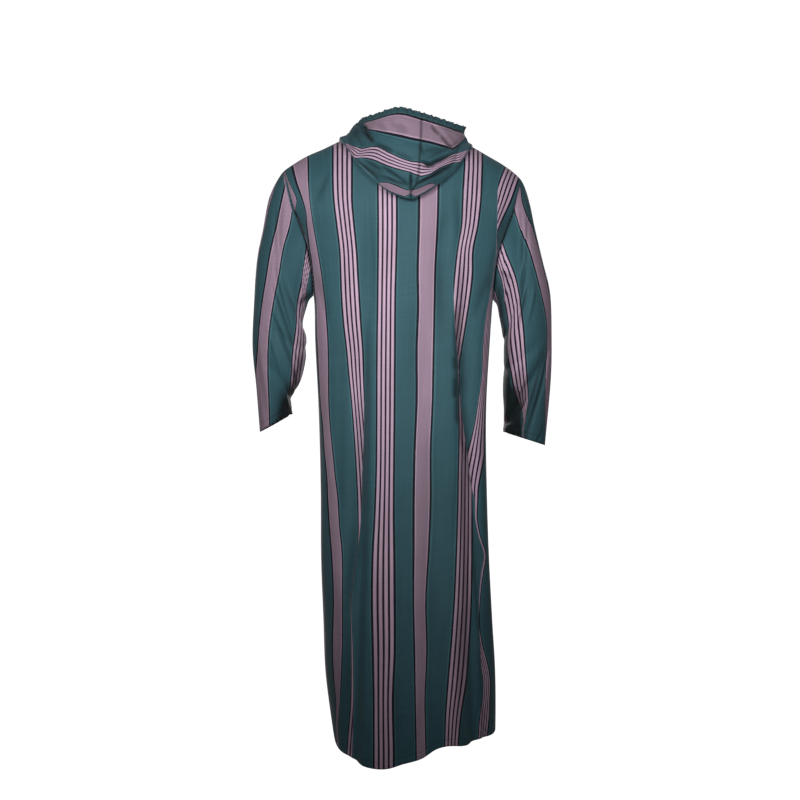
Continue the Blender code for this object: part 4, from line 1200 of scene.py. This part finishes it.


# With the tables of painted shade, the same sum gives how dark the painted shade is in place of a relief
def crease_line_relief(across, along, lines):
    """How far the listed creases lift or sink the cloth."""
    relief = np.zeros_like(across)
    for line in lines:
        run = np.array([line["to_across"] - line["from_across"], line["to_along"] - line["from_along"]])
        length = np.hypot(*run)
        run = run / length
        dx, dz = across - line["from_across"], along - line["from_along"]
        way = np.clip((dx * run[0] + dz * run[1]) / length, 0.0, 1.0)
        off = dx * run[1] - dz * run[0]
        beyond = np.hypot(dx - way * length * run[0], dz - way * length * run[1])
        width = np.where(off > 0, line["width_a"], line["width_b"])
        strength = np.clip(4 * way * (1 - way), 0.0, 1.0) ** CREASE_ENDS
        relief += line["depth"] * strength * np.exp(-((beyond / width) ** 2))
    return relief


def softness(grid, start):
    """The slow, slight unevenness of hanging cloth."""
    scale = (1 / SOFTNESS["across"], 1 / SOFTNESS["across"], 1 / SOFTNESS["along"])
    rows, columns = grid.shape[:2]
    coarse = grid[::SOFTNESS_STEP, ::SOFTNESS_STEP].reshape(-1, 3)
    values = np.array([noise.noise(Vector(point * scale) + Vector((start, 0, 0))) for point in coarse])
    values = values.reshape(len(range(0, rows, SOFTNESS_STEP)), -1)
    down = np.arange(rows) / SOFTNESS_STEP
    over = np.arange(columns) / SOFTNESS_STEP
    values = between(values, np.minimum(down, len(values) - 1))
    return between(values.T, np.minimum(over, values.shape[1] - 1)).T * SOFTNESS["height"]


def from_border(grid, ring=False):
    """How far each point lies from the nearest seam at the top or a side. A ring has only the
    one at its top."""
    along = lengths(grid)
    sides = np.minimum(along, along[:, -1:] - along)
    down = lengths_down(grid)
    return down if ring else np.minimum(sides, down)


@functools.lru_cache
def robe_forms():
    """The smooth outside of every piece, as the solids have it."""
    back, front = panel("back"), panel("front")
    trunk = trunk_surface(*(face[::TRUNK_STEP, ::TRUNK_STEP] for face in (back, front)))
    seams = {side: neck_seam(side, back, front) for side in SIDE}
    halves = {side: hood_half(side, seams[side], trunk) for side in SIDE}
    forms = {"back": back, "front": front, "edging": edging(seams, halves, trunk)}
    for side in SIDE:
        forms["sleeve_" + side] = np.roll(sleeve(side, back, front), -ARMHOLE_ROWS, axis=1)
        forms["hood_" + side] = halves[side]
    return forms


def outwards(grid, ring=False):
    """The way out of the robe at each point, and whether the grid's own turn points in."""
    out = normals(grid, ring)
    middle = grid.mean(axis=1, keepdims=True) if ring else np.zeros(3)
    away = (grid - middle) * (1, 1, 0)
    if len(grid) > FEW_ROWS:
        away = away[: len(grid) // 4]
    turned = float((out[: len(away)] * away).sum()) < 0
    return (-out if turned else out), turned


def make_sheet(name, grid, cloth, shade, turned, material, thickness, ring=False, tucks=False):
    """A thin shell of cloth: the outside and, a cloth's thickness further in, the inside. A
    ring closes on itself, and turned says that the grid's own turn points in."""
    rows, columns = grid.shape[:2]
    index = np.arange(rows * columns).reshape(rows, columns)
    index = np.concatenate([index, index[:, :1]], axis=1) if ring else index
    faces = np.stack([index[:-1, :-1], index[:-1, 1:], index[1:, 1:], index[1:, :-1]], axis=-1)
    corner = np.stack([cloth[:-1, :-1], cloth[:-1, 1:], cloth[1:, 1:], cloth[1:, :-1]], axis=2)
    faces, corner = faces.reshape(-1, 4), corner.reshape(-1, 4, 2)
    if tucks:
        corner[np.ptp(corner[:, :, 0], axis=1) > TUCK_JUMP, :, 0] = TUCK_PLACE
    if turned:
        faces, corner = faces[:, ::-1], corner[:, ::-1]
    mesh = bpy.data.meshes.new(name)
    mesh.from_pydata(grid.reshape(-1, 3).tolist(), [], faces.tolist())
    layer = mesh.uv_layers.new(name="cloth")
    layer.data.foreach_set("uv", corner.astype(np.float32).reshape(-1))
    # Painted shade of creases, seams and gathers, which darkens the cloth's colour
    fold = mesh.attributes.new("fold", "FLOAT", "POINT")
    fold.data.foreach_set("value", shade.astype(np.float32).reshape(-1))
    mesh.materials.append(material)
    mesh.shade_smooth()
    piece = bpy.data.objects.new(name, mesh)
    bpy.context.scene.collection.objects.link(piece)
    bpy.ops.object.select_all(action="DESELECT")
    bpy.context.view_layer.objects.active = piece
    piece.select_set(True)
    shell = piece.modifiers.new("Thickness", "SOLIDIFY")
    shell.thickness = thickness
    shell.offset = -1.0
    bpy.ops.object.modifier_apply(modifier=shell.name)
    return piece


def finer(grid, times):
    """The same surface with more rows and columns."""
    for _ in range(2):
        grid = between(grid, np.arange((len(grid) - 1) * times + 1) / times).transpose(1, 0, 2)
    return grid


def settled(side, grid):
    """The hood with its sides sunk onto the shoulders, where its fold turns to the front."""
    way = np.linspace(0, 1, grid.shape[1])[None, :]
    row = np.linspace(0, 1, len(grid))[:, None]
    middle, width = HOOD_SINK["way"]
    over = np.exp(-(((way - middle) / width) ** 2))
    down = ease(row / HOOD_SINK["from"]) * ease((1 - row) / HOOD_SINK["to"])
    return grid - np.stack([np.zeros_like(over * down)] * 2 + [HOOD_SINK[side] * over * down], axis=-1)


def creased(kind, grid, lines, near, start):
    """How far creases and seams lift or sink the cloth, and how much shade is painted on each point, from 0
    to 1: deep in a crease and along a seam."""
    how = CREASING[kind]
    relief = (lines * how["strength"] + softness(grid, start)) * ease(near / how["start"])
    relief = relief - SEAM_SINK * np.exp(-((near / SEAM_REACH) ** 2))
    shade = -relief / how["darkest"] + how["seam"] * np.exp(-((near / SEAM_SHADE) ** 2))
    return relief, np.clip(shade, 0.0, 1.0)


def cloth_map(crosswise, lengthwise):
    """The flat cloth's place across and along, in metres, for each point."""
    return np.stack([crosswise, lengthwise], axis=-1)


def linear(hex_colour):
    """The linear colour of an sRGB hex value."""
    parts = [int(hex_colour[i : i + 2], 16) / 255 for i in (1, 3, 5)]
    return tuple(c / 12.92 if c <= 0.04045 else ((c + 0.055) / 1.055) ** 2.4 for c in parts)


def add(tree, kind, settings=None, links=None):
    """Adds a node with its settings and its links, given as socket: value or other socket."""
    node = tree.nodes.new(kind)
    for name, value in (settings or {}).items():
        setattr(node, name, value)
    for socket, source in (links or {}).items():
        if isinstance(source, bpy.types.NodeSocket):
            tree.links.new(source, node.inputs[socket])
        else:
            node.inputs[socket].default_value = source
    return node


def stripe_bands(cloth):
    """The repeat across the cloth, as (width, colour) from the start of a wide stripe."""
    line, edge, thin = cloth.border_line, cloth.light_edge, cloth.thin_line
    dark, plum = tuple(cloth.dark_colour), tuple(cloth.plum_colour)
    mauve, pink = tuple(cloth.mauve_colour), tuple(cloth.pink_colour)
    green, light = tuple(cloth.green_colour), tuple(cloth.light_green_colour)
    middle = cloth.wide_stripe - 2 * (line + edge)
    wide = [(line, dark), (edge, pink), (middle, mauve), (edge, pink), (line, dark)]
    stripe = (cloth.group_stripe - 5 * thin) / 4
    group = [(thin, dark), (stripe, pink), (thin, plum), (stripe, pink), (thin, plum)]
    group += [(stripe, pink), (thin, plum), (stripe, pink), (thin, dark)]
    plain = [(edge, light), (cloth.plain_stripe - 2 * edge, green), (edge, light)]
    return wide + plain + group + plain + group + plain


def woven_cloth(name, cloth, striped):
    """Cotton shirting, plain woven and pressed: fine threads, a soft sheen and slight unevenness of the dye,
    with painted shade in its creases, along its seams and in the edging's gathers. The threads are too fine
    to show, so they are drawn coarser."""
    material = bpy.data.materials.new(name)
    material.use_nodes = True
    tree = material.node_tree
    shader = tree.nodes["Principled BSDF"]
    shader.inputs["Roughness"].default_value = cloth.roughness
    shader.inputs["Specular IOR Level"].default_value = SPECULAR
    shader.inputs["Sheen Weight"].default_value = cloth.sheen
    shader.inputs["Sheen Roughness"].default_value = SHEEN_ROUGHNESS
    place = add(tree, "ShaderNodeUVMap", {"uv_map": "cloth"}).outputs["UV"]
    split = add(tree, "ShaderNodeSeparateXYZ", links={0: place})
    across, along = split.outputs["X"], split.outputs["Y"]
    if striped:
        colour = stripe_ramp(tree, cloth, across)
    else:
        colour = add(tree, "ShaderNodeRGB").outputs[0]
        colour.default_value = (*cloth.edging_colour, 1.0)
    solid = add(tree, "ShaderNodeTexCoord").outputs["Object"]
    grains_and_painted_gathers = (WARP_GRAIN, WEFT_GRAIN) if striped else (WARP_GRAIN, WEFT_GRAIN, PAINTED_GATHER_SHADING)
    uneven = [(stretched(tree, place, grain), 1.0, shades) for grain, shades in grains_and_painted_gathers]
    for source, scale, shades in [*uneven, (solid, DYE_SCALE, DYE_SHADES)]:
        speck = speckled(tree, source, scale, GRAIN_DETAIL)
        colour = dimmed(tree, colour, ranged(tree, speck, GRAIN_RANGE, shades))
    # Painted shade: the colour is darkened by the fold attribute, down to DEEPEST_COLOUR where it is deepest
    fold = add(tree, "ShaderNodeAttribute", {"attribute_name": "fold"}).outputs["Fac"]
    colour = dimmed(tree, colour, ranged(tree, fold, (0.0, DEEPEST_SHADE), (1.0, DEEPEST_COLOUR)))
    tree.links.new(colour, shader.inputs["Base Color"])
    tree.links.new(cloth_bump(tree, cloth, place, across, along), shader.inputs["Normal"])
    return material


def maths(tree, operation, *values):
    """The result of one operation on one or two values."""
    return add(tree, "ShaderNodeMath", {"operation": operation}, dict(enumerate(values))).outputs[0]


def stretched(tree, place, grain):
    """The place on the cloth, counted in cycles of a grain."""
    return add(tree, "ShaderNodeVectorMath", {"operation": "MULTIPLY"}, {0: place, 1: grain}).outputs[0]


def speckled(tree, place, scale, detail):
    """Soft random unevenness from 0 to 1."""
    links = {"Vector": place, "Scale": scale, "Detail": detail}
    return add(tree, "ShaderNodeTexNoise", links=links).outputs["Fac"]


def ranged(tree, value, given, wanted):
    """The value, moved from one range to another."""
    links = {"Value": value, "From Min": given[0], "From Max": given[1]}
    links.update({"To Min": wanted[0], "To Max": wanted[1]})
    return add(tree, "ShaderNodeMapRange", links=links).outputs[0]


def dimmed(tree, colour, factor):
    """The colour, made darker or lighter by this factor."""
    links = {0: colour, "Scale": factor}
    return add(tree, "ShaderNodeVectorMath", {"operation": "SCALE"}, links).outputs[0]


def stripe_ramp(tree, cloth, across):
    """The woven stripes, as sharp bands of colour across the cloth."""
    bands = stripe_bands(cloth)
    repeat = sum(width for width, _ in bands)
    share = maths(tree, "FRACT", maths(tree, "DIVIDE", across, repeat))
    ramp = add(tree, "ShaderNodeValToRGB", links={"Fac": share})
    ramp.color_ramp.interpolation = "CONSTANT"
    stops = ramp.color_ramp.elements
    start = 0.0
    for number, (width, colour) in enumerate(bands):
        stop = stops[number] if number < 2 else stops.new(start / repeat)
        stop.position = start / repeat
        stop.color = (*colour, 1.0)
        start += width
    return ramp.outputs["Color"]


def bump(tree, size, height, normal=None):
    """Relief of this strength and height in metres, on top of the relief before it."""
    links = {"Strength": size[0], "Distance": size[1], "Height": height}
    if normal:
        links["Normal"] = normal
    return add(tree, "ShaderNodeBump", links=links).outputs[0]


def cloth_bump(tree, cloth, place, across, along):
    """The relief of the weave, of loose crumples and of the stitched hem."""
    cycles = 2 * math.pi / cloth.drawn_thread
    waves = [maths(tree, "SINE", maths(tree, "MULTIPLY", way, cycles)) for way in (across, along)]
    weave = bump(tree, WEAVE_BUMP, maths(tree, "MULTIPLY", *waves))
    crumple = speckled(tree, stretched(tree, place, CRUMPLE_GRAIN), 1.0, CRUMPLE_DETAIL)
    loose = bump(tree, CRUMPLE_BUMP, crumple, weave)
    from_stitch = maths(tree, "ABSOLUTE", maths(tree, "SUBTRACT", along, cloth.hem_turn))
    stitch = ranged(tree, from_stitch, (0.0, STITCH_REACH), (-1.0, 0.0))
    return bump(tree, STITCH_BUMP, stitch, loose)


def number_property(name, description, default, **limits):
    return bpy.props.FloatProperty(name=name, description=description, default=default, **limits)


def length_property(name, description, default):
    return number_property(name, description, default, min=0.0, unit="LENGTH", precision=4)


def colour_property(name, description, hex_colour):
    kind = {"size": 3, "min": 0.0, "max": 1.0, "subtype": "COLOR"}
    colour = linear(hex_colour)
    return bpy.props.FloatVectorProperty(name=name, description=description, default=colour, **kind)


class RobeCloth(bpy.types.PropertyGroup):
    """The robe's cloth: its thickness, its stripes and its colours."""

    thickness: length_property("Thickness", "Thickness of the cloth with its pressed layers", 0.0009)
    wide_stripe: length_property("Wide stripe", "Width of a wide mauve stripe with its borders", 0.048)
    plain_stripe: length_property("Plain stripe", "Width of the plain green between stripes", 0.050)
    group_stripe: length_property("Group of stripes", "Width of four thin stripes with their lines", 0.051)
    border_line: length_property("Border line", "Width of the dark line beside a wide stripe", 0.0052)
    light_edge: length_property("Light edge", "Width of the lighter threads beside a border line", 0.0026)
    thin_line: length_property("Thin line", "Width of the dark lines between thin stripes", 0.0046)
    hem_turn: length_property("Hem", "Height of the stitched hems and cuffs", 0.014)
    drawn_thread: length_property("Drawn thread", "Spacing that the threads are drawn at", 0.0016)
    green_colour: colour_property("Green", "The plain green", "#38606A")
    light_green_colour: colour_property("Light green", "The green beside the border lines", "#46737C")
    edging_colour: colour_property("Edging", "The green of the gathered edging", "#365C64")
    mauve_colour: colour_property("Mauve", "The wide stripes", "#A58C9F")
    pink_colour: colour_property("Pink", "The thin stripes and the wide ones' edges", "#CCAEC5")
    dark_colour: colour_property("Border colour", "The dark border lines", "#0F1220")
    plum_colour: colour_property("Plum", "The dark lines between thin stripes", "#28182A")
    sheen: number_property("Sheen", "Strength of the cloth's sheen", 0.14, min=0.0, max=1.0)
    roughness: number_property("Roughness", "Roughness of the cloth", 0.66, min=0.0, max=1.0)


class RobeStudio(bpy.types.PropertyGroup):
    """The studio: the floor's height, the camera and the light."""

    floor_drop: length_property("Floor below origin", "How far the floor lies below the shoulders", 1.600)
    lens: number_property("Lens", "Focal length in millimetres", 62.6, min=10.0)
    light_power: number_property("Lights", "Power that the soft lights take shares of", 2.15, min=0.0)
    surround: number_property("Surround", "Strength of the even light from all round", 0.045, min=0.0)
    backdrop_colour: colour_property("Backdrop", "Colour of the floor and the backdrop", "#FBFBFB")


def stripe_sizes(cloth):
    return cloth.wide_stripe, cloth.plain_stripe, cloth.group_stripe


def shirting(cloth):
    return bpy.data.materials.get(STRIPED_SHIRTING) or woven_cloth(STRIPED_SHIRTING, cloth, True)


def finish_piece(piece, node):
    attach(piece, "root")
    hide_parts(node)


class ROBE_OT_panels(bpy.types.Operator):
    """Makes the back and the front of the robe"""

    bl_idname = "robe.panels"
    bl_label = "Back and front"

    def execute(self, context):
        cloth = context.scene.robe_cloth
        forms = robe_forms()
        for face in FACING:
            grid = forms[face]
            out, turned = outwards(grid)
            near = from_border(grid)
            lines = crease_line_relief(grid[..., 0], grid[..., 2], CREASE_LINES[face])
            relief, shade = creased(face, grid, lines, near, SOFTNESS_START[face])
            grid = grid + out * relief[..., None]
            if face == "back":
                grid, crosswise, shade = back_along_threads(grid, shade, stripe_sizes(cloth))
            else:
                crosswise = front_across(grid) + FRONT_START
            uv = cloth_map(crosswise, above_hem(grid))
            made_of = shirting(cloth)
            piece = make_sheet("robe_" + face, grid, uv, shade, turned, made_of, cloth.thickness)
            finish_piece(piece, face + "_panel")
        return {"FINISHED"}


class ROBE_OT_sleeves(bpy.types.Operator):
    """Makes the two sleeves"""

    bl_idname = "robe.sleeves"
    bl_label = "Sleeves"

    def execute(self, context):
        cloth = context.scene.robe_cloth
        for side in SIDE:
            node = "sleeve_" + side
            grid = robe_forms()[node]
            closed = np.concatenate([grid, grid[:, :1]], axis=1)
            out, turned = outwards(grid, ring=True)
            round_arm = lengths(closed)[:, :-1]
            round_arm = round_arm - round_arm[:, ARMHOLE_ROWS : ARMHOLE_ROWS + 1]
            near = from_border(closed, ring=True)[:, :-1]
            lines = crease_line_relief(round_arm, near, CREASE_LINES[side])
            relief, shade = creased("sleeve", grid, lines, near, SOFTNESS_START[node])
            # Painted shade on the sleeves' inner sides, where the deepest folds are, added to that of
            # creases and seams
            dark = crease_line_relief(*view_pixel(grid), SLEEVE_SHADE[side])
            dark[:, :ARMHOLE_ROWS] = 0.0
            shade = np.clip(shade + dark, 0.0, DEEPEST_SHADE)
            grid = grid + out * relief[..., None]
            closed = np.concatenate([grid, grid[:, :1]], axis=1)
            uv = cloth_map(sleeve_across(side, closed, stripe_sizes(cloth)), above_hem(closed))
            made_of = shirting(cloth)
            piece = make_sheet("robe_" + node, grid, uv, shade, turned, made_of, cloth.thickness, ring=True)
            finish_piece(piece, node)
        return {"FINISHED"}


class ROBE_OT_hood(bpy.types.Operator):
    """Makes the two halves of the hood"""

    bl_idname = "robe.hood"
    bl_label = "Hood"

    def execute(self, context):
        cloth = context.scene.robe_cloth
        for side in SIDE:
            node = "hood_" + side
            grid = finer(settled(side, robe_forms()[node]), HOOD_FINER)
            crosswise = hood_across(grid, stripe_sizes(cloth))
            px, py = view_pixel(grid)
            out, turned = outwards(grid)
            near = from_border(grid)
            lines = crease_line_relief(px, py, HOOD_CREASES)
            lines[int(len(grid) * HOOD_SEEN) :] = 0.0
            lines = lines * ease((grid[..., 1] - HOOD_BEHIND) / HOOD_BEHIND)
            relief, shade = creased("hood", grid, lines, near, SOFTNESS_START[node])
            uv = cloth_map(crosswise, lengths(grid) + PAST_HEM)
            # Painted shade in the hood's folds, added to that of its creases and seams
            shade = np.clip(shade + crease_line_relief(px, py, HOOD_SHADE), 0.0, 1.0)
            grid = grid + out * relief[..., None]
            made_of = shirting(cloth)
            piece = make_sheet("robe_" + node, grid, uv, shade, turned, made_of, cloth.thickness, tucks=True)
            finish_piece(piece, node)
        return {"FINISHED"}


class ROBE_OT_edging(bpy.types.Operator):
    """Makes the gathered edging round the face opening"""

    bl_idname = "robe.edging"
    bl_label = "Edging"

    def execute(self, context):
        cloth = context.scene.robe_cloth
        grid = robe_forms()["edging"]
        _, turned = outwards(grid)
        uv = cloth_map(lengths(grid), lengths_down(grid) + PAST_HEM)
        plain = woven_cloth("plain cotton shirting", cloth, False)
        # Painted shade in the hollows of the gathers
        shade = np.clip(-edging_swell(grid.shape[1]) * GATHER_SHADE, 0.0, 1.0)
        piece = make_sheet("robe_hood_edging", grid, uv, shade, turned, plain, EDGING_THICKNESS)
        finish_piece(piece, "hood_edging")
        return {"FINISHED"}


class ROBE_OT_studio(bpy.types.Operator):
    """Makes the floor, the backdrop, the light and the camera"""

    bl_idname = "robe.studio"
    bl_label = "Studio"

    def execute(self, context):
        scene, studio = context.scene, context.scene.robe_studio
        floor = -studio.floor_drop
        make_backdrop(floor, tuple(studio.backdrop_colour))
        for name, place, aim, size, share in SOFTBOXES:
            light = bpy.data.lights.new(name, "AREA")
            light.shape = "DISK"
            light.spread = math.radians(SPREAD)
            light.size = size
            light.energy = studio.light_power * share
            lamp = bpy.data.objects.new(name, light)
            scene.collection.objects.link(lamp)
            lamp.location = place
            lamp.rotation_euler = (Vector(aim) - Vector(place)).to_track_quat("-Z", "Y").to_euler()
        world = bpy.data.worlds.new("studio surround")
        world.use_nodes = True
        sky = world.node_tree.nodes["Background"]
        sky.inputs["Color"].default_value = (1.0, 1.0, 1.0, 1.0)
        seen = add(world.node_tree, "ShaderNodeLightPath").outputs["Is Camera Ray"]
        level = ranged(world.node_tree, seen, (0.0, 1.0), (studio.surround, 1.0))
        world.node_tree.links.new(level, sky.inputs["Strength"])
        scene.world = world
        lens = bpy.data.cameras.new("camera")
        lens.lens = studio.lens
        camera = bpy.data.objects.new("camera", lens)
        scene.collection.objects.link(camera)
        camera.location = (VIEW_X, VIEW_DISTANCE, VIEW_Z)
        camera.rotation_euler = (math.pi / 2, 0.0, math.pi)
        scene.camera = camera
        scene.view_settings.view_transform = "Standard"
        return {"FINISHED"}


def make_backdrop(floor, colour):
    """A pale floor that sweeps up behind the robe. It glows to the camera alone, in place of
    the separate lights that a studio turns on its backdrop."""
    profile = [(SWEEP["front"], floor)]
    for step in range(SWEEP["steps"] + 1):
        angle = math.pi / 2 * step / SWEEP["steps"]
        y = -SWEEP["back"] - SWEEP["radius"] * math.sin(angle)
        profile.append((y, floor + SWEEP["radius"] * (1 - math.cos(angle))))
    profile.append((profile[-1][0], floor + SWEEP["height"]))
    half = SWEEP["half_width"]
    points = [(x, y, z) for y, z in profile for x in (-half, half)]
    faces = [(2 * i, 2 * i + 1, 2 * i + 3, 2 * i + 2) for i in range(len(profile) - 1)]
    mesh = bpy.data.meshes.new("backdrop")
    mesh.from_pydata(points, [], faces)
    mesh.shade_smooth()
    material = bpy.data.materials.new("matt backdrop paper")
    material.use_nodes = True
    tree = material.node_tree
    shader = tree.nodes["Principled BSDF"]
    shader.inputs["Base Color"].default_value = (*colour, 1.0)
    shader.inputs["Roughness"].default_value = PAPER_ROUGHNESS
    shader.inputs["Emission Color"].default_value = (1.0, 1.0, 1.0, 1.0)
    seen = add(tree, "ShaderNodeLightPath").outputs["Is Camera Ray"]
    tree.links.new(seen, shader.inputs["Emission Strength"])
    mesh.materials.append(material)
    sweep = bpy.data.objects.new("backdrop", mesh)
    bpy.context.scene.collection.objects.link(sweep)


class ROBE_PT_sidebar(bpy.types.Panel):
    """Lists the robe's pieces and settings"""

    bl_idname = "ROBE_PT_sidebar"
    bl_label = "Hooded robe"
    bl_space_type = "VIEW_3D"
    bl_region_type = "UI"
    bl_category = "Robe"

    def draw(self, context):
        for maker in MAKERS:
            self.layout.operator(maker.bl_idname)
        for group in (context.scene.robe_cloth, context.scene.robe_studio):
            box = self.layout.box()
            for name in group.__annotations__:
                box.prop(group, name)


MAKERS = (ROBE_OT_panels, ROBE_OT_sleeves, ROBE_OT_hood, ROBE_OT_edging, ROBE_OT_studio)
CLASSES = (RobeCloth, RobeStudio, *MAKERS, ROBE_PT_sidebar)


def register():
    for cls in CLASSES:
        bpy.utils.register_class(cls)
    bpy.types.Scene.robe_cloth = bpy.props.PointerProperty(type=RobeCloth)
    bpy.types.Scene.robe_studio = bpy.props.PointerProperty(type=RobeStudio)


def unregister():
    del bpy.types.Scene.robe_studio
    del bpy.types.Scene.robe_cloth
    for cls in reversed(CLASSES):
        bpy.utils.unregister_class(cls)


def main():
    register()
    bpy.ops.robe.panels()
    bpy.ops.robe.sleeves()
    bpy.ops.robe.hood()
    bpy.ops.robe.edging()
    bpy.ops.robe.studio()


if __name__ == "__main__":
    main()
